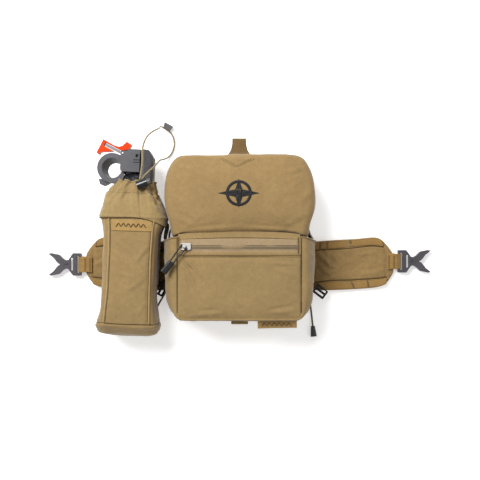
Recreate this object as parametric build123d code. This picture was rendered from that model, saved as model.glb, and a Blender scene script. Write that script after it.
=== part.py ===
from build123d import *
import math
import os

# Binocular harness pack, lying on its back with its wings spread.
# +X to the right as seen from the front, +Y towards the lid's top edge, +Z out of the front.
# The origin is the centre of the back panel's flat face. Millimetres.

# Pack body
PACK_BOTTOM = -103.0
BACK_THICK = 6.0
BODY_FRONT = 72.0
POCKET_FRONT = 92.0
BODY_WALL = 2.5
LINING_GAP = 0.3
RIM_TOP_Z = 36.0
RIM_Y = 9.0

# Lid: a hood hinged along the front pocket's upper seam
HINGE_Z = 84.0
LID_EDGE_Y = 9.6
LID_TOP_Y = 106.0
LID_FRONT = 88.0

# Zipper band: a slanted strip between the pocket's gusset and its front panel
BAND_HIGH_Y = 0.0
BAND_LOW_Y = -17.0
BAND_BACK_Z = 88.0
SLIDER_X = -65.0
TEETH_HALF_LENGTH = 69.0
TRACK_HALF = 0.8

# Wings and their side-release buckles
WING_ROOT_X = 98.3
WING_THICK = 9.0
WEB_THICK = 1.3
WEB_ROW = 11.0
TAB_WIDTH = 20.5
TAB_Y = {1: -27.5, -1: -31.5}
BAR_X = 206.0
BAR_Z = 6.3
BAR_R = 1.6
BUCKLE_WIDTH = 29.0
BUCKLE_THICK = 8.4

# Spray pouch on the left wing: its own frame has Y along the canister's axis
POUCH_X = -135.0
POUCH_Y = -38.0
POUCH_LEAN = -2.5
POUCH_WALL = 2.0
CAN_U = 2.0
CAN_Z = 48.0
CAN_R = 19.0
CAN_BOTTOM = -74.0
CAN_SHOULDER = 106.0
DOME_TOP = 121.0

# Cords
LOOP_CORD_R = 1.1
SIDE_CORD_R = 1.2
PULL_CORD_R = 1.0

parts = {}


def mirrored(right):
    """A closed symmetric outline from the points of its right half, bottom to top."""
    return right + [(-x, y) for x, y in reversed(right)]


def plan(points, low, high, round_by=0.0):
    """A prism standing on the XY plane, with its upright edges rounded."""
    face = make_face(Polyline(*points, close=True))
    if round_by:
        face = fillet(face.vertices(), round_by)
    return Pos(0, 0, low) * extrude(face, high - low)


def side_profile(points, half):
    """A prism along X from a profile of (y, z) points."""
    face = make_face(Polyline(*[(0, y, z) for y, z in points], close=True))
    return extrude(face, half, dir=(1, 0, 0), both=True)


def end_profile(points, low, high):
    """A prism along Y from a profile of (x, z) points."""
    face = make_face(Polyline(*[(x, low, z) for x, z in points], close=True))
    return extrude(face, high - low, dir=(0, 1, 0))


def block(low, high):
    """A box from its lowest to its highest corner."""
    size = [b - a for a, b in zip(low, high)]
    centre = [(a + b) / 2 for a, b in zip(low, high)]
    return Pos(*centre) * Box(*size)


def flipped(points, side):
    """The points, with X mirrored for the left side."""
    return [(side * p[0],) + tuple(p[1:]) for p in points]


def cord(name, route, radius):
    """A tube along straight runs joined by the largest tangent arcs they allow."""
    points = [Vector(*p) for p in route]
    radii = []
    for before, at, after in zip(points, points[1:], points[2:]):
        one, two = at - before, after - at
        turn = math.radians(one.get_angle(two))
        radii.append(0.45 * min(one.length, two.length) / math.tan(turn / 2))
    path = FilletPolyline(*points, radius=radii)
    tube = sweep(Plane(origin=path @ 0, z_dir=path % 0) * Circle(radius), path=path)
    expected = math.pi * radius**2 * path.length
    print(
        f"{name}: {path.length:.1f} mm long, tightest {min(radii):.1f} mm,"
        f" volume ratio {tube.volume / expected:.4f}"
    )
    return tube


# ---------------------------------------------------------------- pack body


def back_panel():
    half = [(78, -103), (82, -60), (84, 0), (87, 42), (85, 75), (74, 103)]
    panel = plan(mirrored(half), 0, BACK_THICK, 10)
    return fillet(panel.faces().sort_by(Axis.Z)[-1].edges(), 1.5)


def main_shell():
    """The padded tub: its rim slopes from the front wall back to the top end."""
    half = [(76, PACK_BOTTOM), (77, RIM_Y), (86.3, 42), (86, 72), (74.5, 99)]
    low = BACK_THICK + LINING_GAP
    outer = plan(mirrored(half), low, BODY_FRONT, 9)
    outer &= side_profile(
        [(-104, low), (99, low), (99, RIM_TOP_Z), (RIM_Y, BODY_FRONT), (-104, BODY_FRONT)], 120
    )
    inside = [(x - BODY_WALL, y) for x, y in half]
    inside[0] = (inside[0][0], PACK_BOTTOM + BODY_WALL)
    inside[-1] = (inside[-1][0], 99 - BODY_WALL)
    room = plan(mirrored(inside), low + BODY_WALL, 100, 7)
    front_inside = BODY_FRONT - BODY_WALL
    hollow = [(-101, low), (97, low), (97, 90), (6, 90), (6, front_inside), (-101, front_inside)]
    room &= side_profile(hollow, 120)
    return outer - room


def liner_back_pad():
    half = [(70, -96), (71, 5), (79, 42), (77, 68), (67, 92)]
    return plan(mirrored(half), 9.1, 12.1, 6)


def liner_base_pad():
    return block((-66, -100.2, 12.4), (66, -97.2, 66))


POCKET_PROFILE = [
    (8, BODY_FRONT + 0.1),
    (8, 82),
    (BAND_HIGH_Y, BAND_BACK_Z),
    (BAND_LOW_Y, POCKET_FRONT),
    (-92, POCKET_FRONT),
    (-99, 88),
    (-101, 81),
    (-101, BODY_FRONT + 0.1),
]
BAND_Y = (BAND_HIGH_Y + BAND_LOW_Y) / 2
BAND_Z = (BAND_BACK_Z + POCKET_FRONT) / 2
BAND_NORMAL = (0, POCKET_FRONT - BAND_BACK_Z, BAND_HIGH_Y - BAND_LOW_Y)
BAND = Plane(origin=(0, BAND_Y, BAND_Z), x_dir=(1, 0, 0), z_dir=BAND_NORMAL)


def on_band(low, high):
    """A box in the zipper band's frame: X along it, Y across it, Z out of it."""
    return BAND.location * block(low, high)


def front_pocket_shell():
    outer = plan([(-76, -101), (75, -101), (75, 8), (-76, 8)], BODY_FRONT, 100)
    outer = fillet(outer.edges().filter_by(Axis.Z).group_by(Axis.Y)[0], 12)
    outer &= side_profile(POCKET_PROFILE, 120)
    inside = [
        (6, 71),
        (6, 80.8),
        (-0.8, 86),
        (-17.4, 90),
        (-91, 90),
        (-97.4, 86.8),
        (-99, 80.8),
        (-99, 71),
    ]
    room = side_profile(inside, 120) & block((-74, -99, 70), (73, 6, 100))
    slot = on_band((-70.6, -4.6, -4), (72.6, 4.6, 4))
    return outer - room - slot


def zipper_tape():
    """Two coated tapes, one on each side of the teeth."""
    upper = on_band((-71, 2.4, 0.05), (73, 8.2, 0.95))
    lower = on_band((-71, -8.2, 0.05), (73, -2.4, 0.95))
    return Compound([upper, lower])


def zipper_teeth():
    """Two coil rows with the slider's track between them."""
    rows = []
    for low, high in ((TRACK_HALF, 2.3), (-2.3, -TRACK_HALF)):
        rows.append(on_band((-TEETH_HALF_LENGTH, low, -0.6), (TEETH_HALF_LENGTH + 3, high, 1.0)))
    return Compound(rows)


PULL_POST_R = 2.2
PULL_POST_X = SLIDER_X - 1.5


def zipper_slider():
    """A top plate and a bottom plate joined by a post that runs in the track."""
    top = fillet(Box(12.4, 8.8, 2.2).edges().filter_by(Axis.Z), 2)
    body = BAND.location * Pos(SLIDER_X, 0, 2.4) * top
    body += on_band((SLIDER_X - 4, -0.55, -1.5), (SLIDER_X + 4, 0.55, 1.4))
    body += on_band((SLIDER_X - 5, -2.6, -2.2), (SLIDER_X + 5, 2.6, -1.1))
    body += BAND.location * Pos(PULL_POST_X, 0, 5.2) * Cylinder(PULL_POST_R, 3.6)
    return body


PULL_ANGLE = math.radians(231.7)
PULL_ALONG = Vector(math.cos(PULL_ANGLE), math.sin(PULL_ANGLE), 0)
PULL_ACROSS = Vector(-math.sin(PULL_ANGLE), math.cos(PULL_ANGLE), 0)
PULL_AT = Vector(PULL_POST_X, BAND_Y + 1.2, 96.0)


def pull_point(along, across, up=0.0):
    return PULL_AT + PULL_ALONG * along + PULL_ACROSS * across + Vector(0, 0, up)


def zip_pull_cord():
    route = [
        pull_point(-0.5, 3.4),
        pull_point(7, 3.2, 0.2),
        pull_point(16, 2.4, 0),
        pull_point(25, 2.2, -0.2),
        pull_point(33, 2.3, 0),
        pull_point(33, -2.3, 0),
        pull_point(25, -2.2, -0.2),
        pull_point(16, -2.4, 0),
        pull_point(7, -3.2, 0.2),
        pull_point(-0.5, -3.4),
    ]
    return cord("zip_pull_cord", [tuple(p) for p in route], PULL_CORD_R)


def zip_pull_grip():
    """The moulded end that both legs of the pull cord run into."""
    start = 24.0
    end = 40.5
    frame = Plane(origin=pull_point(start, 0), x_dir=PULL_ACROSS, z_dir=PULL_ALONG)
    small = frame * RectangleRounded(7.4, 4.2, 1.8)
    large = frame.offset(end - start) * RectangleRounded(8.6, 4.6, 2.0)
    return loft([small, large])


def side_pocket(side):
    """A slash pocket on the pack's side, open towards the lid."""
    section = [(77.4, 9), (92, 9), (94.5, 16), (94.5, 50), (82, 86), (77.4, 86)]
    outline = [(77.4, -94), (83, -94), (91, -56), (94.5, -2.5), (77.4, 4)]
    room_section = [(79.4, 11), (91, 11), (92.6, 17), (92.6, 49.6), (81, 84), (79.4, 84)]
    room_outline = [(79.4, -90), (81.9, -90), (89.1, -56), (92.6, -2.5), (92.6, 12), (79.4, 12)]
    outer = end_profile(flipped(section, side), -100, 10) & plan(flipped(outline, side), 0, 100)
    room = end_profile(flipped(room_section, side), -100, 20) & plan(flipped(room_outline, side), 0, 100)
    return outer - room


def wing_anchor(side):
    """The sewn gusset between the back panel's edge and the wing's fold line."""
    low, high = sorted((side * 85.0, side * 92.5))
    return block((low, -52, 1), (high, -4, 8))


def harness_loops():
    """Two flat webbing loops for the shoulder harness, on the back panel's upper corners."""
    loops = []
    for side in (1, -1):
        base = Pos(side * 52, 104.75, 3.2) * Box(25, 7.5, 5)
        gap = Pos(side * 52, 105.8, 3.2) * Box(30, 3, 2.2)
        loops.append(fillet((base - gap).edges().filter_by(Axis.X), 0.5))
    clear = block((-100, 90, 0), (100, 103.3, 20))
    return Compound([solid for loop in loops for solid in (loop - clear).solids()])


def pack_label():
    """A woven label sewn along its inner edge to the front panel's lower seam."""
    return Pos(46, PACK_BOTTOM - 3.4, 78.6) * Rot(30, 0, 1.5) * Box(48, 10, 1.0)


def bottom_loop():
    """A short webbing loop under the bottom edge, for a lower tether."""
    outer = block((-11, PACK_BOTTOM - 6, 26), (11, PACK_BOTTOM - 0.2, 34))
    gap = block((-20, PACK_BOTTOM - 4.6, 27.4), (20, PACK_BOTTOM - 1.6, 32.6))
    return outer - gap


def closure_magnets(y_low):
    """Three magnet discs in a row along the pack's top end."""
    discs = [Pos(x, y_low + 0.5, 25) * Rot(90, 0, 0) * Cylinder(6, 1.0) for x in (-42, 0, 42)]
    return Compound(discs)


# ---------------------------------------------------------------- lid


LID_HALF = [(83.5, LID_EDGE_Y), (87.5, 22), (93, 44), (92, 72), (87, 90), (75, LID_TOP_Y)]
LID_WALL = 4.0


def lid_shell():
    """The padded hood, with side flaps over the tub's rim."""
    outer = plan(mirrored(LID_HALF), 0, 110)
    corners = outer.edges().filter_by(Axis.Z)
    outer = fillet(corners.group_by(Axis.Y)[-1] + corners.group_by(Axis.Y)[-2], 12)
    outer &= side_profile(
        [
            (22, 57),
            (LID_EDGE_Y, 68),
            (LID_EDGE_Y, HINGE_Z),
            (30, LID_FRONT),
            (92, LID_FRONT),
            (103, 82),
            (LID_TOP_Y, 72),
            (LID_TOP_Y, 14),
        ],
        120,
    )
    inside = [(x - LID_WALL, y) for x, y in LID_HALF]
    inside[0] = (inside[0][0], 0.0)
    inside[-1] = (inside[-1][0], LID_TOP_Y - LID_WALL - 0.4)
    room = plan(mirrored(inside), 0, 110, 7)
    room &= side_profile(
        [(-5, 0), (-5, 80), (LID_EDGE_Y, 80), (30, 83), (90, 83), (99, 78), (101.6, 70), (101.6, 0)], 120
    )
    return outer - room


def lid_liner():
    """The foam stiffener inside the lid's front."""
    half = [(70, 32), (80, 46), (80, 70), (74, 88)]
    return plan(mirrored(half), 79.6, 82.6, 6)


def lid_pull_tab():
    """A folded webbing tab that flares where it is sewn to the lid's upper edge."""
    half = [(17, 0), (12.5, 5), (9.8, 12), (9.2, 20)]
    flat = plan(mirrored(half), -1.5, 1.5)
    return Pos(-0.5, LID_TOP_Y + 0.2, 66) * Rot(-6, 0, 0) * flat


def lid_emblem():
    """An embroidered compass rose: a ring and a four-pointed star."""
    star = []
    for step in range(8):
        reach = 26.0 if step % 2 == 0 else 5.5
        reach *= 0.68 if step % 4 == 2 else 1.0
        angle = math.radians(45 * step)
        star.append((reach * math.cos(angle), reach * math.sin(angle)))
    ring = Circle(15) - Circle(12.4)
    badge = make_face(Polyline(*star, close=True)) + ring
    return Pos(-0.9, 56.5, LID_FRONT + 0.1) * extrude(badge, 0.8)


# ---------------------------------------------------------------- wings


def wing_outline(side):
    points = [(WING_ROOT_X, 0.5), (178, 2.5), (197.5, -13), (198.8, -43), (182, -62), (WING_ROOT_X, -65)]
    return flipped(points, side)


def wing_pad(side):
    pad = plan(wing_outline(side), 0, WING_THICK)
    outer_corners = pad.edges().filter_by(Axis.Z).sort_by(Axis.X)
    outer_corners = outer_corners[-4:] if side > 0 else outer_corners[:4]
    pad = fillet(outer_corners, 7)
    return pad


def wing_webbing(side, low, high):
    """A webbing row along one long edge of the wing."""
    row = plan(wing_outline(side), WING_THICK + 0.1, WING_THICK + 0.1 + WEB_THICK)
    ends = sorted((side * WING_ROOT_X, side * 187.0))
    return row & block((ends[0], low, 0), (ends[1], high, 20))


def wing_tab(side):
    """Webbing folded round the buckle's bar and sewn over the wing's end."""
    loop_r = BAR_R + 0.35 + 1.5
    tail = [(190, 9.3), (199.4, 9.3), (199.4, 12.3), (190, 12.3)]
    ring = [
        (BAR_X + loop_r * math.cos(math.radians(a)), BAR_Z + loop_r * math.sin(math.radians(a)))
        for a in range(-120, 91, 15)
    ]
    section = [tail[0], tail[1]] + ring + [tail[3]]
    low = TAB_Y[side] - TAB_WIDTH / 2
    tab = end_profile(flipped(section, side), low, low + TAB_WIDTH)
    bore = Pos(side * BAR_X, TAB_Y[side], BAR_Z) * Rot(90, 0, 0) * Cylinder(BAR_R + 0.35, 60)
    return tab - bore


def buckle(side):
    """The male half of a side-release buckle, with two sprung prongs."""
    half_thick = BUCKLE_THICK / 2
    rail = BUCKLE_WIDTH / 2
    frame = [
        (BAR_X - 1.6, -rail + 1.5),
        (BAR_X + 1, -rail),
        (BAR_X + 9, -rail),
        (BAR_X + 14.5, -6.5),
        (BAR_X + 14.5, 6.5),
        (BAR_X + 9, rail),
        (BAR_X + 1, rail),
        (BAR_X - 1.6, rail - 1.5),
    ]
    body = plan(frame, -half_thick, half_thick)
    window = Pos(BAR_X + 0.05, 0, 0) * Box(8.1, TAB_WIDTH + 1.0, 20)
    body -= window
    bar = Pos(BAR_X, 0, 0) * Rot(90, 0, 0) * Cylinder(BAR_R, BUCKLE_WIDTH - 4)
    second_slot = Pos(BAR_X + 10.6, 0, 0) * Box(3.4, 16, 20)
    body = body - second_slot
    rails = [Pos(BAR_X + 1.2, s * (rail - 1.6), 0) * Box(5.6, 3.0, 6.0) for s in (1, -1)]
    body = body + bar + rails
    prong = [
        (BAR_X + 13, 2),
        (BAR_X + 13, 6.5),
        (BAR_X + 18, 5.2),
        (BAR_X + 22, 7.5),
        (BAR_X + 27, 12.5),
        (BAR_X + 37, 14.6),
        (BAR_X + 41, 14.0),
        (BAR_X + 38, 11.6),
        (BAR_X + 34, 8.5),
        (BAR_X + 29, 2),
        (BAR_X + 24, -1),
    ]
    for lift in (1, -1):
        body += plan([(x, lift * y) for x, y in prong], -half_thick + 0.6, half_thick - 0.6)
    tongue = Pos(BAR_X + 19, 0, 0) * Box(12, 8, 5)
    body += tongue
    body = Pos(0, TAB_Y[side], BAR_Z) * body
    return body if side > 0 else mirror(body, Plane.YZ)


# Place and turn of each ladder lock
ADJUSTERS = {1: (103.6, -66.5, -37.0), -1: (-100.6, -63.2, 62.0)}


def adjuster(side):
    """A ladder lock at the wing's lower root corner."""
    plate = fillet(Box(17, 12.5, 3).edges().filter_by(Axis.Z), 1.5)
    for y in (3.4, -2.0):
        plate -= Pos(0, y, 0) * Box(12.5, 2.4, 10)
    x, y, turn = ADJUSTERS[side]
    return Pos(x, y, WING_THICK + WEB_THICK + 2.2) * Rot(0, 0, turn) * plate


# ---------------------------------------------------------------- pouch


POUCH_FRAME = Location((POUCH_X, POUCH_Y, 0), (0, 0, POUCH_LEAN))

# Each station: place along the pouch, left, right, back, front, corner radius
POUCH_STATIONS = [
    (63.0, -39.5, 41.0, 14.0, 82.0, 20.0),
    (46.0, -34.0, 33.5, 12.0, 84.0, 14.0),
    (-45.0, -33.5, 33.5, 12.0, 84.0, 14.0),
    (-64.0, -37.5, 37.0, 12.0, 83.0, 16.0),
]
BASE_STATIONS = [
    (-64.4, -37.6, 37.1, 12.0, 83.0, 16.0),
    (-72.0, -38.2, 37.6, 12.0, 78.0, 16.0),
    (-80.0, -33.0, 32.0, 16.0, 66.0, 16.0),
]
COLLAR_STATIONS = [
    (63.4, -39.5, 41.0, 14.0, 82.0, 20.0),
    (86.0, -37.0, 34.0, 16.0, 79.0, 24.0),
    (99.0, -31.0, 26.5, 21.0, 75.0, 22.0),
    (108.5, -20.2, 24.2, 25.6, 70.8, 20.0),
]


def station_loft(stations, inset=0.0, first=None, last=None):
    """A lofted tube of rounded rectangles, optionally smaller and with moved ends."""
    sections = []
    for index, (at, left, right, back, front, corner) in enumerate(stations):
        if first is not None and index == 0:
            at = first
        if last is not None and index == len(stations) - 1:
            at = last
        centre = ((left + right) / 2, at, (back + front) / 2)
        wide, deep = right - left - 2 * inset, front - back - 2 * inset
        frame = Plane(origin=centre, x_dir=(1, 0, 0), z_dir=(0, 1, 0))
        sections.append(frame * RectangleRounded(wide, deep, corner - inset))
    return loft(sections, ruled=True)


def pouch_shell():
    shell = station_loft(POUCH_STATIONS)
    return shell - station_loft(POUCH_STATIONS, POUCH_WALL, 63.5, -64.5)


def pouch_base():
    shell = station_loft(BASE_STATIONS)
    return shell - station_loft(BASE_STATIONS, POUCH_WALL, -64.0, -78.0)


def pouch_collar():
    """The gathered hood, drawn in round the canister's neck."""
    wall = 1.6
    shell = station_loft(COLLAR_STATIONS)
    return shell - station_loft(COLLAR_STATIONS, wall, 63.0, 108.9)


def pouch_label():
    return block((-22, 49, 84.3), (26, 63, 85.1))


def pouch_mount_panel():
    """Hook-and-loop panel that holds the pouch on the wing's webbing."""
    return block((-20, -20, WING_THICK + WEB_THICK + 0.2), (20, 26, 11.8))


def can_body():
    outer = Pos(CAN_U, (CAN_BOTTOM + CAN_SHOULDER) / 2, CAN_Z) * Rot(90, 0, 0)
    outer *= Cylinder(CAN_R, CAN_SHOULDER - CAN_BOTTOM)
    outer = fillet(outer.edges().sort_by(Axis.Y)[0], 2.5)
    room = Pos(CAN_U, (CAN_BOTTOM + 2 + CAN_SHOULDER + 1) / 2, CAN_Z) * Rot(90, 0, 0)
    room *= Cylinder(CAN_R - 1.2, CAN_SHOULDER + 1 - CAN_BOTTOM - 2)
    return outer - room


def can_dome():
    """The black shoulder cap and valve cup that closes the can."""
    low = CAN_SHOULDER + 0.1
    half = [
        (0, low),
        (CAN_R, low),
        (CAN_R, DOME_TOP - 6),
        (CAN_R - 2.5, DOME_TOP - 1.5),
        (CAN_R - 7, DOME_TOP),
        (0, DOME_TOP),
    ]
    face = make_face(Polyline(*[(CAN_U + r, v, 0) for r, v in half], close=True))
    solid = revolve(face, Axis((CAN_U, 0, 0), (0, 1, 0)), 360)
    return Pos(0, 0, CAN_Z) * solid


PIVOT = (-15.7, 145.2)
LEVER_ANGLE = 155.0
LEVER_Z = (43.0, 53.0)


def lever_frame(points):
    """Points given along the lever and above it, placed in the pouch's frame."""
    turn = math.radians(LEVER_ANGLE)
    along = (math.cos(turn), math.sin(turn))
    above = (math.sin(turn), -math.cos(turn))
    places = []
    for a, p in points:
        places.append((PIVOT[0] + a * along[0] + p * above[0], PIVOT[1] + a * along[1] + p * above[1]))
    return places


def upright(x, y, radius, low, high):
    return Pos(x, y, (low + high) / 2) * Cylinder(radius, high - low)


RING_AT = (-28.5, 126.3)


def actuator_housing():
    """The moulded head: front plate, barrel, finger ring and lower hook."""
    plate = plan([(-17.4, 122), (6.2, 122), (6.2, 147.5), (-17.4, 147.5)], 30, 68)
    plate = fillet(plate.edges().filter_by(Axis.Z).sort_by(Axis.X)[:2], 3)
    deck = plan([(-9, 140), (6.2, 140), (6.2, 150.4), (-9, 150.4)], 32, 62)
    barrel = plan([(8.4, 110.5), (22.8, 110.5), (22.8, 140), (17, 149.5), (8.4, 150.4)], 28, 70)
    barrel = fillet(barrel.faces().sort_by(Axis.X)[-1].edges().filter_by(Axis.Y), 9)
    joint = plan([(5, 122), (9.5, 122), (9.5, 149.5), (5, 149.5)], 30, 61)
    ring_outer = upright(*RING_AT, 18.5, 36, 60)
    web = plan([(-26, 108), (-14, 112), (-14, 142), (-26, 144)], 36, 60)
    hook_outline = [
        (-45, 112),
        (-43, 105.5),
        (-38, 103.6),
        (-29, 109.2),
        (-21.8, 111),
        (-21.8, 118),
        (-34, 113),
    ]
    hook = plan(hook_outline, 40, 56)
    head = plate + deck + barrel + joint + ring_outer + web + hook
    mouth = Plane(origin=(*RING_AT, 60.1)) * Circle(12.6)
    back = Plane(origin=(RING_AT[0] + 2.5, RING_AT[1] - 2.5, 35.9)) * Circle(10)
    head -= loft([mouth, back])
    bore = Pos(CAN_U, 112, CAN_Z) * Rot(90, 0, 0) * Cylinder(CAN_R + 0.4, 2 * (DOME_TOP + 0.4 - 112))
    head -= bore
    head -= upright(*PIVOT, 3.8, LEVER_Z[0] - 0.5, LEVER_Z[1] + 0.5)
    notch = lever_frame([(-1, -9), (7, -5), (30, -3.4), (30, 6), (-1, 6)])
    head -= plan(notch, LEVER_Z[0] - 0.5, LEVER_Z[1] + 0.5)
    head -= upright(*PIVOT, 1.3, 30, 70)
    head -= upright(2.7, 141.8, 2.0, 64, 70)
    for v in (136.6, 133.6):
        head -= block((-1.6, v - 0.6, 66.5), (7, v + 0.6, 70))
    head -= Pos(20, 141, CAN_Z) * Rot(0, 90, 0) * Cylinder(3.6, 12)
    return head


def spray_nozzle():
    """The orifice insert in the barrel's outer face."""
    insert = Pos(17.5, 141, CAN_Z) * Rot(0, 90, 0) * Cylinder(3.4, 6)
    return insert - Pos(17.5, 141, CAN_Z) * Rot(0, 90, 0) * Cylinder(0.8, 20)


def trigger_lever():
    arm = plan(lever_frame([(0, -2.2), (24, -2.2), (25.8, -1), (25.8, 1.2), (0, 1.2)]), *LEVER_Z)
    lever = arm + upright(*PIVOT, 3.2, *LEVER_Z)
    return lever - upright(*PIVOT, 1.25, 30, 70)


def trigger_pin():
    return upright(*PIVOT, 1.2, 33, 66)


def safety_clip():
    """The orange guard: an arm over the lever, a closed end and a thumb hook."""
    arm = [
        (4.5, 1.8),
        (30, 1.8),
        (30, 4.2),
        (14, 3.6),
        (8.6, 4.8),
        (5.5, 8),
        (3, 14.8),
        (-3.6, 14.3),
        (-3.9, 8),
        (0, 4.6),
    ]
    end = [(26.6, -15.4), (30.2, -14.6), (30.4, 4), (26.6, 4)]
    gusset = [(27, -2.9), (27, -12), (13, -3.3), (13, -2.9)]
    clip = plan(lever_frame(arm), 41, 55)
    clip += plan(lever_frame(end), 41, 55)
    clip += plan(lever_frame(gusset), 41, 55)
    return clip


# ---------------------------------------------------------------- cord lock, in the pack's frame

LOCK_AT = (-118.8, 68.2, 79.8)
LOCK_TURN = 22.0
LOCK_FRAME = Location(LOCK_AT, (0, 0, LOCK_TURN))


def cord_lock_body():
    """A barrel lock, open at the plunger's end."""
    barrel = LOCK_FRAME * Rot(0, 90, 0) * Cylinder(5.6, 13)
    barrel -= LOCK_FRAME * Pos(2, 0, 0) * Rot(0, 90, 0) * Cylinder(4.3, 10.2)
    return barrel


def cord_lock_plunger():
    stem = LOCK_FRAME * Pos(6.2, 0, 0) * Rot(0, 90, 0) * Cylinder(4.0, 9.5)
    return fillet(stem.edges().sort_by(Axis.X)[-1], 1.2)


LOOP_ROUTE = [
    (-121.5, 73.6, 79.8),
    (-119.8, 84, 79),
    (-118.4, 96, 78.3),
    (-118.8, 108, 78),
    (-117.0, 118.5, 78),
    (-112.2, 127.8, 77.4),
    (-105.2, 133.5, 75),
    (-100.6, 136.8, 66),
    (-99.9, 139.2, 54),
    (-100.6, 141.6, 40.5),
    (-101.2, 144.0, 27),
    (-101.2, 145.6, 16),
    (-100.8, 146.3, 9.2),
    (-96.8, 144.2, 4.7),
    (-90.7, 140.9, 4.0),
    (-85.4, 133.2, 1.9),
    (-84.4, 122.2, 1.2),
    (-87.6, 113.0, 1.2),
    (-93.0, 106.6, 1.6),
    (-98.2, 104.0, 10),
    (-99.8, 102.4, 25),
    (-100.4, 100.2, 41),
    (-101.4, 96.6, 56),
    (-103.4, 92.0, 68.5),
    (-107.6, 86.6, 76.8),
    (-113.0, 81.4, 80.0),
    (-117.0, 77.2, 80.4),
    (-118.4, 74.2, 79.8),
]
TOGGLE_AT = (-94.6, 145.4, 4.1)


def loop_toggle():
    """A flat tapered pull on the loop's far end."""
    lower = [(-4.4, -3.7), (4.4, -3.7), (6.3, 3.7), (-6.3, 3.7)]
    pull = plan(lower, -3.4, 3.4, 1.0)
    return Pos(*TOGGLE_AT) * Rot(0, 0, -28) * Pos(0.8, 1.6, 0) * pull


RIGHT_CORD_ROUTE = [
    (86.4, -58.0, 7.0),
    (88.4, -64.5, 5.6),
    (90.4, -72.5, 3.2),
    (91.6, -82.0, 1.5),
    (92.9, -92.5, 1.4),
    (94.0, -102.5, 1.9),
    (94.8, -111.4, 3.4),
]
LEFT_CORD_ROUTE = [
    (-92.6, -58.5, 7.4),
    (-94.8, -65.0, 5.6),
    (-98.6, -72.4, 3.2),
    (-103.6, -80.4, 1.5),
    (-108.2, -89.2, 1.8),
    (-111.4, -97.6, 3.4),
]


def cord_end(route):
    """A tapered end on the last run of a cord, lying on its wide rim."""
    last, before = Vector(*route[-1]), Vector(*route[-2])
    heading = last - before
    heading = Vector(heading.X, heading.Y, 0).normalized()
    frame = Plane(origin=last + Vector(0, 0, 0.8), z_dir=heading)
    return loft([frame * Circle(2.7), frame.offset(13.5) * Circle(4.1)])


def elastic_route(side):
    """The lid cord's short visible stretch, from the tub's side seam into the side pocket."""
    points = [
        (81.0, 21.0, 50.0),
        (84.0, 16.5, 49.0),
        (87.2, 10.8, 46.5),
        (88.6, 4.0, 43.0),
        (88.3, -5.8, 38.0),
    ]
    return flipped(points, side)


def place_pouch(shape):
    return POUCH_FRAME * shape


def build():
    parts["back_panel"] = back_panel()
    parts["main_shell"] = main_shell()
    parts["liner_back_pad"] = liner_back_pad()
    parts["liner_base_pad"] = liner_base_pad()
    parts["front_pocket_shell"] = front_pocket_shell()
    parts["zipper_tape"] = zipper_tape()
    parts["zipper_teeth"] = zipper_teeth()
    parts["zipper_slider"] = zipper_slider()
    parts["zip_pull_cord"] = zip_pull_cord()
    parts["zip_pull_grip"] = zip_pull_grip()
    parts["harness_loops"] = harness_loops()
    parts["pack_label"] = pack_label()
    parts["bottom_loop"] = bottom_loop()
    parts["rim_magnets"] = closure_magnets(99.2)
    parts["lid_magnets"] = closure_magnets(100.5)
    parts["lid_shell"] = lid_shell()
    parts["lid_liner"] = lid_liner()
    parts["lid_pull_tab"] = lid_pull_tab()
    parts["lid_emblem"] = lid_emblem()
    for word, side in (("right", 1), ("left", -1)):
        parts[f"side_pocket_{word}"] = side_pocket(side)
        parts[f"wing_anchor_{word}"] = wing_anchor(side)
        parts[f"wing_pad_{word}"] = wing_pad(side)
        parts[f"wing_webbing_upper_{word}"] = wing_webbing(side, -WEB_ROW, 10)
        parts[f"wing_webbing_lower_{word}"] = wing_webbing(side, -70, -54.5)
        parts[f"wing_tab_{word}"] = wing_tab(side)
        parts[f"buckle_{word}"] = buckle(side)
        parts[f"adjuster_{word}"] = adjuster(side)
        parts[f"lid_cord_{word}"] = cord(f"lid_cord_{word}", elastic_route(side), SIDE_CORD_R)
    parts["side_cord_right"] = cord("side_cord_right", RIGHT_CORD_ROUTE, SIDE_CORD_R)
    parts["side_cord_left"] = cord("side_cord_left", LEFT_CORD_ROUTE, SIDE_CORD_R)
    parts["cord_end_right"] = cord_end(RIGHT_CORD_ROUTE)
    parts["cord_end_left"] = cord_end(LEFT_CORD_ROUTE)
    in_pouch_frame = {
        "pouch_shell": pouch_shell,
        "pouch_base": pouch_base,
        "pouch_collar": pouch_collar,
        "pouch_label": pouch_label,
        "pouch_mount_panel": pouch_mount_panel,
        "can_body": can_body,
        "can_dome": can_dome,
        "actuator_housing": actuator_housing,
        "spray_nozzle": spray_nozzle,
        "trigger_lever": trigger_lever,
        "trigger_pin": trigger_pin,
        "safety_clip": safety_clip,
    }
    for name, make in in_pouch_frame.items():
        parts[name] = place_pouch(make())
    parts["cord_lock_body"] = cord_lock_body()
    parts["cord_lock_plunger"] = cord_lock_plunger()
    parts["drawcord_loop"] = cord("drawcord_loop", LOOP_ROUTE, LOOP_CORD_R)
    parts["loop_toggle"] = loop_toggle()


build()
os.makedirs("parts", exist_ok=True)
for node, shape in parts.items():
    export_step(shape, f"parts/{node}.step")
print(len(parts), "nodes")
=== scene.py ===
import bpy
import math
import numpy as np
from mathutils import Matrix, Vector
from mathutils.bvhtree import BVHTree


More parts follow.
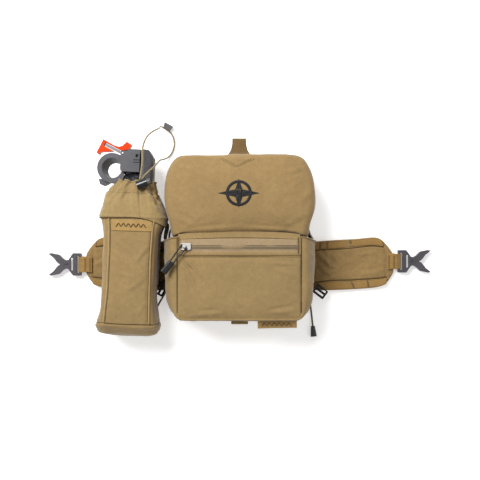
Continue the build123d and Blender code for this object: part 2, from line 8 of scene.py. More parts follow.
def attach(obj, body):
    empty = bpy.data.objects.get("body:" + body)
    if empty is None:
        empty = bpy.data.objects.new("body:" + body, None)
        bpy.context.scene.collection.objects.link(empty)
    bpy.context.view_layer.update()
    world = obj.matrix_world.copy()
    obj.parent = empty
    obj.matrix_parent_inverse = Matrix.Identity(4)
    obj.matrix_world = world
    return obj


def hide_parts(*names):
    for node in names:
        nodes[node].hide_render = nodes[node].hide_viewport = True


# Binocular harness pack, lying on its back. Lengths are in millimetres here and turned into metres
# where a mesh is made. The frame is the CAD model's: +Y towards the lid's top edge, +Z out of the front.

MM = 0.001
SIDES = (("right", 1), ("left", -1))
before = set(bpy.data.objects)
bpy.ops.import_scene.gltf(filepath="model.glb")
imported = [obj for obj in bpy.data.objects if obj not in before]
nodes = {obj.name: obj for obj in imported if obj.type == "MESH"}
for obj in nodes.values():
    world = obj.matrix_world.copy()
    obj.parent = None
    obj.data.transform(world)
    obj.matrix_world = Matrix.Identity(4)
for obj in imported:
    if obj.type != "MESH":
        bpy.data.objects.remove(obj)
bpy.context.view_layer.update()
scene = bpy.context.scene


# ---- camera

CAMERA_HEIGHT = 1250.0
CAMERA_X = 0.5
VIEW_WIDTH = 624.0
SENSOR = 36.0
camera_data = bpy.data.cameras.new("camera")
camera_data.sensor_width = SENSOR
camera_data.lens = SENSOR * CAMERA_HEIGHT / VIEW_WIDTH
camera = bpy.data.objects.new("camera", camera_data)
camera.location = (CAMERA_X * MM, 0.0, CAMERA_HEIGHT * MM)
scene.collection.objects.link(camera)
scene.camera = camera


# ---- node helpers


class Shader:
    """A principled material built from a few node calls; coordinates are metres in the object's frame."""

    def __init__(self, name):
        self.material = bpy.data.materials.new(name)
        self.material.use_nodes = True
        self.tree = self.material.node_tree
        self.bsdf = self.tree.nodes["Principled BSDF"]
        self.place = self.node("ShaderNodeTexCoord").outputs["Object"]

    def node(self, kind, inputs=None, **settings):
        made = self.tree.nodes.new(kind)
        for key, value in settings.items():
            setattr(made, key, value)
        for key, value in (inputs or {}).items():
            self.feed(made.inputs[key], value)
        return made

    def feed(self, socket, value):
        if isinstance(value, bpy.types.NodeSocket):
            self.tree.links.new(value, socket)
        else:
            socket.default_value = value

    def set(self, **values):
        for key, value in values.items():
            self.feed(self.bsdf.inputs[key.replace("_", " ")], value)

    def noise(self, scale, detail=3.0, stretch=None):
        where = self.place
        if stretch:
            mapping = self.node("ShaderNodeMapping", {"Vector": self.place, "Scale": stretch})
            where = mapping.outputs["Vector"]
        made = self.node("ShaderNodeTexNoise", {"Vector": where, "Scale": scale, "Detail": detail})
        return made.outputs["Fac"]

    def ribs(self, period, direction="X", turn=0.0):
        """Rounded ribs of the given period in metres."""
        where = self.place
        if turn:
            rotated = self.node("ShaderNodeMapping", {"Vector": self.place, "Rotation": (0, 0, turn)})
            where = rotated.outputs["Vector"]
        made = self.node(
            "ShaderNodeTexWave",
            {"Vector": where, "Scale": math.pi / (10 * period), "Distortion": 0.6, "Detail": 1.0},
            bands_direction=direction,
        )
        return made.outputs["Fac"]

    def math(self, operation, a, b):
        return self.node("ShaderNodeMath", {0: a, 1: b}, operation=operation).outputs[0]

    def ramp(self, value, low, high):
        """The value mapped from low..high to 0..1, and held there."""
        made = self.node("ShaderNodeMapRange", {"Value": value, "From Min": low, "From Max": high})
        return made.outputs["Result"]

    def mix(self, factor, one, two):
        made = self.node("ShaderNodeMix", data_type="RGBA")
        self.feed(made.inputs["Factor"], factor)
        self.feed(made.inputs["A"], one)
        self.feed(made.inputs["B"], two)
        return made.outputs["Result"]

    def bump(self, height, strength, distance, normal=None):
        made = self.node("ShaderNodeBump", {"Height": height, "Strength": strength, "Distance": distance})
        if normal is not None:
            self.feed(made.inputs["Normal"], normal)
        return made.outputs["Normal"]


def srgb(*channels):
    """A linear colour from 0-255 sRGB values."""
    linear = [((c / 255 + 0.055) / 1.055) ** 2.4 if c > 10 else c / 255 / 12.92 for c in channels]
    return (*linear, 1.0)


def shade(colour, factor):
    return (colour[0] * factor, colour[1] * factor, colour[2] * factor, 1.0)


def woven(name, colour, period=0.0011, ribbed=False, roughness=0.86, sheen=0.25, worn=0.12, grain=0.35):
    """Woven cloth: crossed threads, uneven dye, pale worn edges and a soft sheen."""
    s = Shader(name)
    patches = s.ramp(s.noise(16.0, 4.0), 0.3, 0.7)
    mottle = s.ramp(s.noise(170.0, 2.0), 0.25, 0.75)
    base = s.mix(patches, shade(colour, 0.97), shade(colour, 1.14))
    base = s.mix(s.math("MULTIPLY", mottle, 0.55), base, shade(colour, 0.74))
    fine = s.ramp(s.noise(560.0, 2.0), 0.32, 0.68)
    base = s.mix(s.math("MULTIPLY", fine, 0.5), base, shade(colour, 0.80))
    warp = s.ribs(period, "X")
    weft = s.ribs(period * (2.6 if ribbed else 1.0), "Y")
    threads = s.math("MULTIPLY", s.math("ADD", warp, 0.35), s.math("ADD", weft, 0.35))
    base = s.mix(s.math("MULTIPLY", s.ramp(threads, 0.3, 0.0), 0.35), base, shade(colour, 0.62))
    edge = s.node("ShaderNodeNewGeometry").outputs["Pointiness"]
    rubbed = s.math("MULTIPLY", s.ramp(edge, 0.52, 0.60), worn)
    base = s.mix(rubbed, base, shade(colour, 1.5))
    creases = s.math("ADD", s.noise(60.0, 4.0), s.math("MULTIPLY", s.noise(330.0, 2.0), 0.35))
    normal = s.bump(creases, grain, 0.0030)
    normal = s.bump(threads, 0.30, 0.00025, normal)
    s.set(Base_Color=base, Roughness=roughness, Sheen_Weight=sheen, Sheen_Roughness=0.45, Normal=normal)
    s.set(Specular_IOR_Level=0.25)
    return s.material


def moulded(name, colour, roughness=0.45, grain=900.0, depth=0.12, worn=0.2, coat=0.0, shine=0.3):
    """Moulded plastic: fine spark-eroded grain, faint flow marks and slightly rubbed edges."""
    s = Shader(name)
    flow = s.ramp(s.noise(60.0, 3.0, (1.0, 0.35, 1.0)), 0.3, 0.7)
    base = s.mix(flow, shade(colour, 0.9), shade(colour, 1.12))
    edge = s.node("ShaderNodeNewGeometry").outputs["Pointiness"]
    base = s.mix(s.math("MULTIPLY", s.ramp(edge, 0.52, 0.62), worn), base, shade(colour, 1.9))
    texture = s.noise(grain, 2.0)
    rough = s.math("ADD", s.math("MULTIPLY", s.noise(35.0, 3.0), 0.16), roughness - 0.08)
    s.set(Base_Color=base, Roughness=rough, Normal=s.bump(texture, depth, 0.0002), Coat_Weight=coat)
    s.set(Specular_IOR_Level=shine)
    s.set(Coat_Roughness=0.12)
    return s.material


def metal(name, colour, roughness=0.2, scratched=0.3):
    """Cast or turned metal with fine scratches and small tarnish spots."""
    s = Shader(name)
    spots = s.ramp(s.noise(420.0, 3.0), 0.45, 0.75)
    base = s.mix(s.math("MULTIPLY", spots, 0.35), colour, shade(colour, 0.55))
    lines = s.noise(260.0, 4.0, (1.0, 9.0, 1.0))
    rough = s.math("ADD", s.math("MULTIPLY", lines, scratched), roughness)
    s.set(Base_Color=base, Metallic=1.0, Roughness=rough, Normal=s.bump(lines, 0.06, 0.0002))
    return s.material


def braided(name, colour, fleck, period=0.0016):
    """Braided cord: slanted strands with darker gaps and a few flecks."""
    s = Shader(name)
    one = s.ribs(period, "DIAGONAL")
    two = s.ribs(period, "DIAGONAL", math.radians(90))
    strands = s.math("MAXIMUM", one, two)
    base = s.mix(s.ramp(strands, 0.75, 0.35), colour, shade(colour, 0.45))
    base = s.mix(s.math("MULTIPLY", s.ramp(s.noise(700.0, 1.0), 0.55, 0.62), 0.5), base, fleck)
    s.set(Base_Color=base, Roughness=0.8, Sheen_Weight=0.3, Normal=s.bump(strands, 0.5, 0.0004))
    return s.material


LOOKS = {
    "cloth": woven("pack_cloth", srgb(143, 119, 78), grain=0.32),
    "lid_cloth": woven("lid_cloth", srgb(146, 120, 78), grain=0.32),
    "wing_cloth": woven("wing_cloth", srgb(139, 113, 71), grain=0.7),
    "collar_cloth": woven("collar_cloth", srgb(147, 124, 82), grain=0.6, sheen=0.35),
    "webbing": woven("ribbed_webbing", srgb(144, 113, 64), period=0.0009, ribbed=True, worn=0.2, grain=0.2),
    # Painted shade: a darker copy of the webbing look for the lid's pull loop, standing in for the shade it
    # sits in.
    "tab_webbing_painted_shade": woven("tab_webbing_painted_shade", srgb(108, 85, 50), period=0.0009, ribbed=True, worn=0.25, grain=0.3),
    "label": woven("woven_label", srgb(156, 124, 70), period=0.0007, sheen=0.5, roughness=0.6, grain=0.3),
    "binding": woven("edge_binding", srgb(128, 103, 64), period=0.0008, ribbed=True),
    "piping": woven("piping_cloth", srgb(152, 127, 84), period=0.0008, worn=0.3),
    # Painted seam shadow: a dark colour laid along seams to stand for the shade in their grooves. The same
    # look also colours the dark stitching on the buckle tabs and the labels' woven motifs.
    "seam": woven("seam_shadow", srgb(84, 66, 38), period=0.0008, worn=0.0, sheen=0.0),
    "thread": woven("sewing_thread", srgb(112, 90, 52), period=0.0005, worn=0.0),
    "lining": woven("brushed_lining", srgb(112, 100, 82), period=0.0014, sheen=0.6, roughness=0.95),
    "mesh": woven("spacer_mesh", srgb(78, 70, 56), period=0.0026, sheen=0.5, roughness=0.95),
    "tape": woven("coated_tape", srgb(150, 127, 95), period=0.0024, ribbed=True, roughness=0.55, sheen=0.1),
    "satin": woven("satin_stitch", srgb(22, 21, 24), period=0.0008, roughness=0.55, sheen=0.4, worn=0.05),
    "coil": moulded("coil_black", srgb(84, 72, 50), 0.5),
    "slider": metal("polished_slider", (0.2, 0.195, 0.18, 1.0), 0.28, 0.3),
    "pull_cord": braided("pull_cord_black", srgb(14, 13, 14), srgb(110, 108, 100)),
    "pull_grip": moulded("pull_grip_black", srgb(14, 13, 15), 0.4, coat=0.1),
    "buckle": moulded("buckle_acetal", srgb(66, 63, 68), 0.42, 700.0, 0.35),
    "adjuster": moulded("adjuster_acetal", srgb(20, 20, 22), 0.4, 800.0, 0.2),
    "cord": braided("shock_cord_tan", srgb(150, 133, 98), srgb(98, 86, 58)),
    "cord_dark": braided("shock_cord_olive", srgb(104, 94, 62), srgb(60, 54, 36)),
    "cord_end": moulded("cord_end_grey", srgb(70, 69, 70), 0.5),
    "magnet": metal("nickel_magnet", (0.6, 0.59, 0.57, 1.0), 0.25),
    "can": moulded("can_lacquer", srgb(34, 34, 38), 0.28, 1200.0, 0.04, coat=0.5),
    "dome": moulded("dome_black", srgb(26, 26, 30), 0.2, 900.0, 0.05, coat=0.6),
    "housing": moulded("housing_grey", srgb(72, 71, 75), 0.5, 620.0, 0.4),
    "nozzle": moulded("nozzle_black", srgb(20, 20, 22), 0.3),
    "lever": moulded("lever_grey", srgb(118, 118, 122), 0.42, 800.0, 0.2),
    "pin": metal("ground_pin", (0.55, 0.55, 0.55, 1.0), 0.25),
    "orange": moulded("safety_orange", srgb(205, 54, 0), 0.4, 900.0, 0.05, shine=0.08),
    "lock": moulded("lock_black", srgb(22, 22, 24), 0.25, coat=0.4),
    "plunger": moulded("plunger_grey", srgb(84, 83, 80), 0.4),
}


# ---- shape helpers


def resample(points, count, closed=True):
    """Evenly spaced points along a polyline."""
    p = np.asarray(points, float)
    if closed:
        p = np.vstack([p, p[:1]])
    steps = np.linalg.norm(np.diff(p, axis=0), axis=1)
    run = np.concatenate([[0], np.cumsum(steps)])
    at = np.linspace(0, run[-1], count, endpoint=not closed)
    return np.stack([np.interp(at, run, p[:, k]) for k in range(p.shape[1])], 1)


def rounded(points, radius, count, closed=True):
    """An evenly spaced line through an outline whose corners are rounded off."""
    p = [np.asarray(q, float) for q in points]
    radii = radius if hasattr(radius, "__len__") else [radius] * len(p)
    line = []
    for i, at in enumerate(p):
        if not closed and i in (0, len(p) - 1):
            line.append(at)
            continue
        before, after = p[i - 1], p[(i + 1) % len(p)]
        ends = []
        for other in (before, after):
            length = np.linalg.norm(other - at)
            ends.append(at + (other - at) * min(radii[i], 0.48 * length) / length)
        for t in np.linspace(0, 1, 9):
            line.append((1 - t) ** 2 * ends[0] + 2 * t * (1 - t) * at + t * t * ends[1])
    return resample(line, count, closed)


def smooth_through(keys, values, at):
    """A smooth curve through values at keys, for each value's components."""
    keys = np.asarray(keys, float)
    values = np.asarray(values, float)
    slopes = np.gradient(values, keys, axis=0)
    at = np.clip(np.asarray(at, float), keys[0], keys[-1])
    i = np.clip(np.searchsorted(keys, at, side="right") - 1, 0, len(keys) - 2)
    span = keys[i + 1] - keys[i]
    t = (at - keys[i]) / span
    shape = (-1,) + (1,) * (values.ndim - 1)
    t, span = t.reshape(shape), span.reshape(shape)
    one = (1 + 2 * t) * (1 - t) ** 2 * values[i] + t * (1 - t) ** 2 * span * slopes[i]
    two = t * t * (3 - 2 * t) * values[i + 1] + t * t * (t - 1) * span * slopes[i + 1]
    return one + two


def uneven(x, y, size, seed):
    """A smooth uneven field, about -1 to 1, with features of the given size."""
    rng = np.random.default_rng(seed)
    total = np.zeros_like(x, dtype=float)
    for _ in range(8):
        turn = rng.uniform(0, math.tau)
        rate = rng.uniform(0.5, 1.3) * math.tau / size
        phase = rng.uniform(0, 9)
        total += np.sin((x * math.cos(turn) + y * math.sin(turn)) * rate + phase)
    return total / 3.2


def line_distance(x, y, line, closed=False):
    """Distance in plan from each point to a polyline."""
    best = np.full(np.shape(x), 1e9)
    ends = list(zip(line, line[1:])) + ([(line[-1], line[0])] if closed else [])
    for (ax, ay), (bx, by) in ends:
        dx, dy = bx - ax, by - ay
        t = np.clip(((x - ax) * dx + (y - ay) * dy) / (dx * dx + dy * dy), 0, 1)
        best = np.minimum(best, np.hypot(x - ax - t * dx, y - ay - t * dy))
    return best


def groove(x, y, line, width, depth, closed=False):
    """A sewn groove along a line: how far the cloth is pulled in."""
    return -depth * np.exp(-((line_distance(x, y, line, closed) / width) ** 2))


def fold(x, y, ax, ay, bx, by, width, height):
    """A wrinkle from a to b that fades at both ends: a ridge with a trough beside it."""
    dx, dy = bx - ax, by - ay
    length = math.hypot(dx, dy)
    t = ((x - ax) * dx + (y - ay) * dy) / length**2
    across = ((y - ay) * dx - (x - ax) * dy) / length
    fade = np.sin(np.clip(t, 0, 1) * math.pi) ** 0.7
    ridge = np.exp(-((across / width) ** 2)) - 0.7 * np.exp(-(((across - 1.9 * width) / width) ** 2))
    return height * fade * ridge


def wrinkled(height, x, y, folds, scale=1.0):
    """The height with folds added to it, each one (ax, ay, bx, by, width, height)."""
    for row in folds:
        height = height + scale * fold(x, y, *row)
    return height


def dip(x, at, width):
    """A smooth dip of depth 1 round a place."""
    return np.exp(-(((x - at) / width) ** 2))


def looped(line):
    """The line with its first point repeated at its end."""
    return np.vstack([line, line[:1]])


def level_at(height):
    """A flat surface for pillow()."""
    return lambda x, y: np.full(len(x), height)


def normals(grid, closed):
    """Unit normals of a grid of points; rings run along the second index."""
    along = np.gradient(grid, axis=0)
    if closed:
        wide = np.concatenate([grid[:, -1:], grid, grid[:, :1]], 1)
        across = np.gradient(wide, axis=1)[:, 1:-1]
    else:
        across = np.gradient(grid, axis=1)
    n = np.cross(across, along)
    return n / np.maximum(np.linalg.norm(n, axis=2, keepdims=True), 1e-9)


def pushed(grid, height, closed=True):
    """The grid moved along its normals by a height at each point."""
    return grid + normals(grid, closed) * height[..., None]


def new_mesh(name, verts, faces, look, body):
    """A smooth-shaded mesh piece from points in millimetres."""
    mesh = bpy.data.meshes.new(name)
    mesh.from_pydata([tuple(v) for v in np.asarray(verts) * MM], [], faces)
    mesh.update()
    for polygon in mesh.polygons:
        polygon.use_smooth = True
    piece = bpy.data.objects.new(name, mesh)
    scene.collection.objects.link(piece)
    mesh.materials.append(LOOKS[look])
    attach(piece, body)
    return piece


def add(piece, kind, **settings):
    """Adds a modifier with its settings."""
    modifier = piece.modifiers.new(kind.lower(), kind)
    for key, value in settings.items():
        setattr(modifier, key, value)
    return modifier


def declare_cut(grid, closed, layers):
    """Measures the flat cut and area of a sheet of cloth on the grid it was laid out on, and keeps neither.
    """
    wide = np.concatenate([grid, grid[:, :1]], 1) if closed else grid
    down = np.diff(wide, axis=0)
    along = np.diff(wide, axis=1)
    area = np.linalg.norm(np.cross(down[:, :-1], along[:-1]), axis=2).sum() * MM * MM / layers
    width = np.linalg.norm(along, axis=2).sum(1).max() * MM
    length = np.linalg.norm(down, axis=2).sum(0).max() * MM
    cut = (round(float(width), 4), round(float(length), 4))
    area = min(float(area), cut[0] * cut[1])


def grid_mesh(name, grid, look, body, stands_for=(), closed=True, first=False, last=False, thick=0.0,
              level=1, held=None, layers=1):
    """A mesh on a grid of points: rings joined in order, with optional end caps or a cloth thickness.

    It replaces the nodes in stands_for. If held is given, its flat cut is measured and not kept.
    """
    grid = np.asarray(grid, float)
    rows, count = grid.shape[:2]
    verts = grid.reshape(-1, 3)
    faces = []
    for r in range(rows - 1):
        for c in range(count if closed else count - 1):
            d = (c + 1) % count
            faces.append((r * count + c, r * count + d, (r + 1) * count + d, (r + 1) * count + c))
    for wanted, row in ((first, 0), (last, rows - 1)):
        start = row * count
        for c in range(count // 2 - 1 if wanted else 0):
            face = (start + c, start + c + 1, start + count - 2 - c, start + count - 1 - c)
            faces.append(face if row else face[::-1])
    piece = new_mesh(name, verts, faces, look, body)
    if thick:
        add(piece, "SOLIDIFY", thickness=thick * MM, offset=-1.0, use_even_offset=True)
    if level:
        add(piece, "SUBSURF", levels=level, render_levels=level)
    if held:
        declare_cut(grid, closed, layers)
    if stands_for:
        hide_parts(*stands_for)
    return piece


def tubes(name, lines, look, body, radius):
    """One piece of thin round lines: bindings, seam shadows and threads."""
    curve = bpy.data.curves.new(name, "CURVE")
    curve.dimensions = "3D"
    curve.bevel_depth = radius * MM
    curve.bevel_resolution = 2
    curve.use_fill_caps = True
    for line in [line for line in lines if len(line) > 1]:
        spline = curve.splines.new("POLY")
        spline.points.add(len(line) - 1)
        for point, place in zip(spline.points, line):
            point.co = (*[c * MM for c in place], 1.0)
        spline.use_smooth = True
    curve.materials.append(LOOKS[look])
    piece = bpy.data.objects.new(name, curve)
    scene.collection.objects.link(piece)
    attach(piece, body)
    return piece


def stitches(lines, pitch=3.4, length=2.3):
    """Short straight threads along each line."""
    made = []
    for line in lines:
        p = np.asarray(line, float)
        total = np.linalg.norm(np.diff(p, axis=0), axis=1).sum()
        if total < pitch:
            continue
        fine = resample(p, max(int(total / 0.25), 4), closed=False)
        starts = np.arange(0.4, total - length, pitch)
        run = np.linspace(0, total, len(fine))
        for s in starts:
            ends = [[np.interp(q, run, fine[:, k]) for k in range(3)] for q in (s, s + length)]
            made.append(ends)
    return made


# ---- cords

LOOP_ROUTE = [
    (-0.1215, 0.0736, 0.0798),
    (-0.1198, 0.0840, 0.0790),
    (-0.1184, 0.0960, 0.0783),
    (-0.1188, 0.1080, 0.0780),
    (-0.1170, 0.1185, 0.0780),
    (-0.1122, 0.1278, 0.0774),
    (-0.1052, 0.1335, 0.0750),
    (-0.1006, 0.1368, 0.0660),
    (-0.0999, 0.1392, 0.0540),
    (-0.1006, 0.1416, 0.0405),
    (-0.1012, 0.1440, 0.0270),
    (-0.1012, 0.1456, 0.0160),
    (-0.1008, 0.1463, 0.0092),
    (-0.0968, 0.1442, 0.0047),
    (-0.0907, 0.1409, 0.0040),
    (-0.0854, 0.1332, 0.0019),
    (-0.0844, 0.1222, 0.0012),
    (-0.0876, 0.1130, 0.0012),
    (-0.0930, 0.1066, 0.0016),
    (-0.0982, 0.1040, 0.0100),
    (-0.0998, 0.1024, 0.0250),
    (-0.1004, 0.1002, 0.0410),
    (-0.1014, 0.0966, 0.0560),
    (-0.1034, 0.0920, 0.0685),
    (-0.1076, 0.0866, 0.0768),
    (-0.1130, 0.0814, 0.0800),
    (-0.1170, 0.0772, 0.0804),
    (-0.1184, 0.0742, 0.0798),
]
RIGHT_CORD_ROUTE = [
    (0.0864, -0.0580, 0.0070),
    (0.0884, -0.0645, 0.0056),
    (0.0904, -0.0725, 0.0032),
    (0.0916, -0.0820, 0.0015),
    (0.0929, -0.0925, 0.0014),
    (0.0940, -0.1025, 0.0019),
    (0.0948, -0.1114, 0.0034),
]
LEFT_CORD_ROUTE = [
    (-0.0926, -0.0585, 0.0074),
    (-0.0948, -0.0650, 0.0056),
    (-0.0986, -0.0724, 0.0032),
    (-0.1036, -0.0804, 0.0015),
    (-0.1082, -0.0892, 0.0018),
    (-0.1114, -0.0976, 0.0034),
]
LID_CORD_ROUTE = [
    (0.0810, 0.0210, 0.0500),
    (0.0840, 0.0165, 0.0490),
    (0.0872, 0.0108, 0.0465),
    (0.0886, 0.0040, 0.0430),
    (0.0883, -0.0058, 0.0380),
]
PULL_ROUTE = [
    (-0.0635, -0.0090, 0.0960),
    (-0.0683, -0.0148, 0.0962),
    (-0.0745, -0.0213, 0.0960),
    (-0.0803, -0.0283, 0.0958),
    (-0.0851, -0.0346, 0.0960),
    (-0.0888, -0.0318, 0.0960),
    (-0.0837, -0.0256, 0.0958),
    (-0.0783, -0.0184, 0.0960),
    (-0.0733, -0.0108, 0.0962),
    (-0.0689, -0.0048, 0.0960),
]


def cord(name, route, radius, look, body):
    """A free cord on one smooth spline that leaves the object at the route's first point."""
    curve = bpy.data.curves.new(name, "CURVE")
    curve.dimensions = "3D"
    curve.resolution_u = 10
    curve.bevel_depth = radius
    curve.bevel_resolution = 4
    curve.use_fill_caps = True
    spline = curve.splines.new("NURBS")
    spline.points.add(len(route) - 1)
    for point, place in zip(spline.points, route):
        point.co = (*place, 1.0)
    spline.order_u = 3
    spline.use_endpoint_u = True
    curve.materials.append(LOOKS[look])
    piece = bpy.data.objects.new(f"{name}_braid", curve)
    scene.collection.objects.link(piece)
    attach(piece, body)
    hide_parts(name)
    return piece


cord("drawcord_loop", LOOP_ROUTE, 0.0011, "cord", "wing_left")
cord("side_cord_right", RIGHT_CORD_ROUTE, 0.0012, "cord_dark", "pack")
cord("side_cord_left", LEFT_CORD_ROUTE, 0.0012, "cord_dark", "wing_left")
for word, side in SIDES:
    route = [(side * x, y, z) for x, y, z in LID_CORD_ROUTE]
    cord(f"lid_cord_{word}", route, 0.0012, "cord", "pack")
cord("zip_pull_cord", PULL_ROUTE, 0.0010, "pull_cord", "zip_pull")


# ---- hard parts carried over from the frame

# Each hard part: its look and the width of its rounded edges.
HARD = {
    "zipper_slider": ("slider", 0.5),
    "zip_pull_grip": ("pull_grip", 0.5),
    "rim_magnets": ("magnet", 0.25),
    "lid_magnets": ("magnet", 0.25),
    "buckle_right": ("buckle", 0.7),
    "buckle_left": ("buckle", 0.7),
    "adjuster_right": ("adjuster", 0.5),
    "adjuster_left": ("adjuster", 0.5),
    "cord_end_right": ("cord_end", 0.7),
    "cord_end_left": ("cord_end", 0.7),
    "loop_toggle": ("cord_end", 0.7),
    "can_body": ("can", 0.6),
    "can_dome": ("dome", 0.8),
    "actuator_housing": ("housing", 0.6),
    "spray_nozzle": ("nozzle", 0.3),
    "trigger_lever": ("lever", 0.4),
    "trigger_pin": ("pin", 0.2),
    "safety_clip": ("orange", 0.6),
    "cord_lock_body": ("lock", 0.8),
    "cord_lock_plunger": ("plunger", 0.5),
    "zipper_teeth": ("coil", 0.2),
}
for node_name, (look, edge) in HARD.items():
    carried = nodes[node_name]
    carried.data.materials.clear()
    carried.data.materials.append(LOOKS[look])
    add(carried, "BEVEL", width=edge * MM, segments=3, limit_method="ANGLE", angle_limit=math.radians(35))
    add(carried, "WEIGHTED_NORMAL", keep_sharp=False)
    for polygon in carried.data.polygons:
        polygon.use_smooth = True


# ---- laying details on a surface

ABOVE = 300.0


class Skin:
    """A finished piece's surface, for laying seams, stitches and trims on it."""

    def __init__(self, piece):
        bpy.context.view_layer.update()
        graph = bpy.context.evaluated_depsgraph_get()
        shown = piece.evaluated_get(graph)
        mesh = shown.to_mesh()
        verts = [piece.matrix_world @ v.co for v in mesh.vertices]
        self.tree = BVHTree.FromPolygons(verts, [p.vertices[:] for p in mesh.polygons])
        shown.to_mesh_clear()

    def drop(self, x, y, lift=0.0):
        """The first surface point straight below (x, y), raised by lift, or None."""
        hit = self.tree.ray_cast(Vector((x, y, ABOVE)) * MM, Vector((0, 0, -1)))[0]
        return None if hit is None else np.array(hit) / MM + (0, 0, lift)

    def down(self, line, lift=0.0, spacing=2.0):
        """A line of (x, y) points dropped onto the surface from above."""
        p = np.asarray(line, float)
        length = np.linalg.norm(np.diff(p, axis=0), axis=1).sum()
        fine = resample(p, max(int(length / spacing), 2), closed=False)
        hits = [self.drop(x, y, lift) for x, y in fine]
        return [h for h in hits if h is not None]

    def heights(self, x, y, lift):
        """The surface's height over a grid of places, raised by lift."""
        return np.array([[self.drop(a, b, lift)[2] for a, b in zip(*row)] for row in zip(x, y)])


def clockwise(outline):
    """The outline in the direction that makes a pillow's faces look outwards."""
    p = np.asarray(outline, float)
    after = np.roll(p, -1, 0)
    area = (p[:, 0] * after[:, 1] - after[:, 0] * p[:, 1]).sum()
    return p[::-1] if area > 0 else p


def facing_up(grid):
    """The grid with its rows in the order that turns its faces up."""
    return grid if normals(grid, False)[..., 2].mean() > 0 else grid[::-1]


def pillow(outline, centre, spacing, radius, front, crown, low, walls, bulge=1.0):
    """Rings of a crowned form: from the centre over the front, round the edge and down its walls.

    front(x, y) is the height of the face and low(x, y) that of the walls' lower edge.
    """
    outline = clockwise(outline)
    centre = np.asarray(centre, float)
    reach = np.linalg.norm(outline - centre, axis=1, keepdims=True)
    inner = 1 - radius / reach
    rings = []
    count = max(int(reach.max() / spacing), 4)
    for share in np.linspace(0.02, 1, count):
        plan = centre + (outline - centre) * inner * share
        lift = crown * (1 - share**2.2)
        rings.append(np.column_stack([plan, front(plan[:, 0], plan[:, 1]) + lift]))
    edge_front = rings[-1][:, 2]
    for turn in np.linspace(0, math.pi / 2, max(int(radius * 1.6 / spacing), 3) + 1)[1:]:
        plan = centre + (outline - centre) * (1 - radius * (1 - math.sin(turn)) / reach)
        rings.append(np.column_stack([plan, edge_front - radius * (1 - math.cos(turn))]))
    top = rings[-1][:, 2]
    bottom = low(outline[:, 0], outline[:, 1])
    for step in np.linspace(0, 1, walls + 1)[1:]:
        out = bulge * math.sin(math.pi * step)
        plan = centre + (outline - centre) * (1 + out / reach)
        rings.append(np.column_stack([plan, top + (bottom - top) * step]))
    return np.array(rings)


def ramp_between(x, low, high):
    """0 at low and 1 at high, straight between and level beyond them."""
    return np.clip((np.asarray(x, float) - low) / (high - low), 0, 1)


def softened(values, passes):
    """Values round a closed loop, evened out."""
    v = np.array(values, float)
    for _ in range(passes):
        v = (np.roll(v, 1) + 2 * v + np.roll(v, -1)) / 4
    return v


PUFF_STEPS = 20
CLOTH = {
    "quality": 6,
    "mass": 0.25,
    "tension_stiffness": 18,
    "compression_stiffness": 12,
    "shear_stiffness": 8,
    "bending_stiffness": 0.8,
    "use_pressure": True,
    "uniform_pressure_force": 3.0,
    "vertex_group_mass": "held",
}


def puff(piece, cap, held):
    """Swells a closed soft piece by cloth simulation; points that held() picks stay where they are."""
    mesh = piece.data
    rest = np.array([v.co for v in mesh.vertices])
    others = [(m, m.show_viewport, m.show_render) for m in piece.modifiers]
    for m, _, _ in others:
        m.show_viewport = False
    group = piece.vertex_groups.new(name="held")
    group.add([int(i) for i in np.nonzero(held(rest / MM))[0]], 1.0, "REPLACE")
    cloth = piece.modifiers.new("cloth", "CLOTH")
    piece.modifiers.move(len(piece.modifiers) - 1, 0)
    for key, value in CLOTH.items():
        setattr(cloth.settings, key, value)
    cloth.settings.effector_weights.gravity = 0.0
    cloth.point_cache.frame_start = 1
    cloth.point_cache.frame_end = PUFF_STEPS
    for step in range(1, PUFF_STEPS + 1):
        scene.frame_set(step)
    graph = bpy.context.evaluated_depsgraph_get()
    swollen = piece.evaluated_get(graph).to_mesh()
    new = np.array([v.co for v in swollen.vertices])
    piece.evaluated_get(graph).to_mesh_clear()
    piece.modifiers.remove(cloth)
    scene.frame_set(1)
    moved = new - rest
    size = np.linalg.norm(moved, axis=1, keepdims=True)
    moved *= np.minimum(1.0, cap * MM / np.maximum(size, 1e-9))
    mesh.vertices.foreach_set("co", (rest + moved).astype(np.float32).ravel())
    mesh.update()
    for m, viewport, render in others:
        m.show_viewport = viewport
        m.show_render = render


# ---- pack body

# Each station of the body's skin: its height, the right half of its outline and the outline's corner radius.
BODY_LOOPS = [
    (88.0, [(0, -94.8), (73.4, -94.8), (73.6, -50), (73.4, 3.6)], 6),
    (88.6, [(0, -96.8), (77.0, -96.8), (80.5, -50), (79.5, 2.8)], 10),
    (79.0, [(0, -98.4), (70, -98.4), (79, -93.6), (87.5, -78), (88.6, -50), (87.5, -20), (87.0, 1.0)], 10),
    (64.0, [(0, -99.4), (66, -99.4), (78.5, -95), (88, -80), (92, -50), (91.8, -20), (93.6, -1.0)], 12),
    (46.0, [(0, -100.2), (66, -100.2), (78.5, -96), (88.5, -80), (93.2, -50), (93, -20), (95.4, -2.2)], 12),
    (26.0, [(0, -101), (66, -101), (78.5, -96.6), (87.6, -80), (91.6, -50), (91.8, -20), (93.2, -2.0)], 12),
    (8.0, [(0, -101), (68, -101), (78, -96), (85.5, -80), (87.2, -50), (87.6, -20), (87.8, -1.0)], 12),
]
BODY_ROWS_AT = [0, 4, 14, 30, 48, 68, 87]


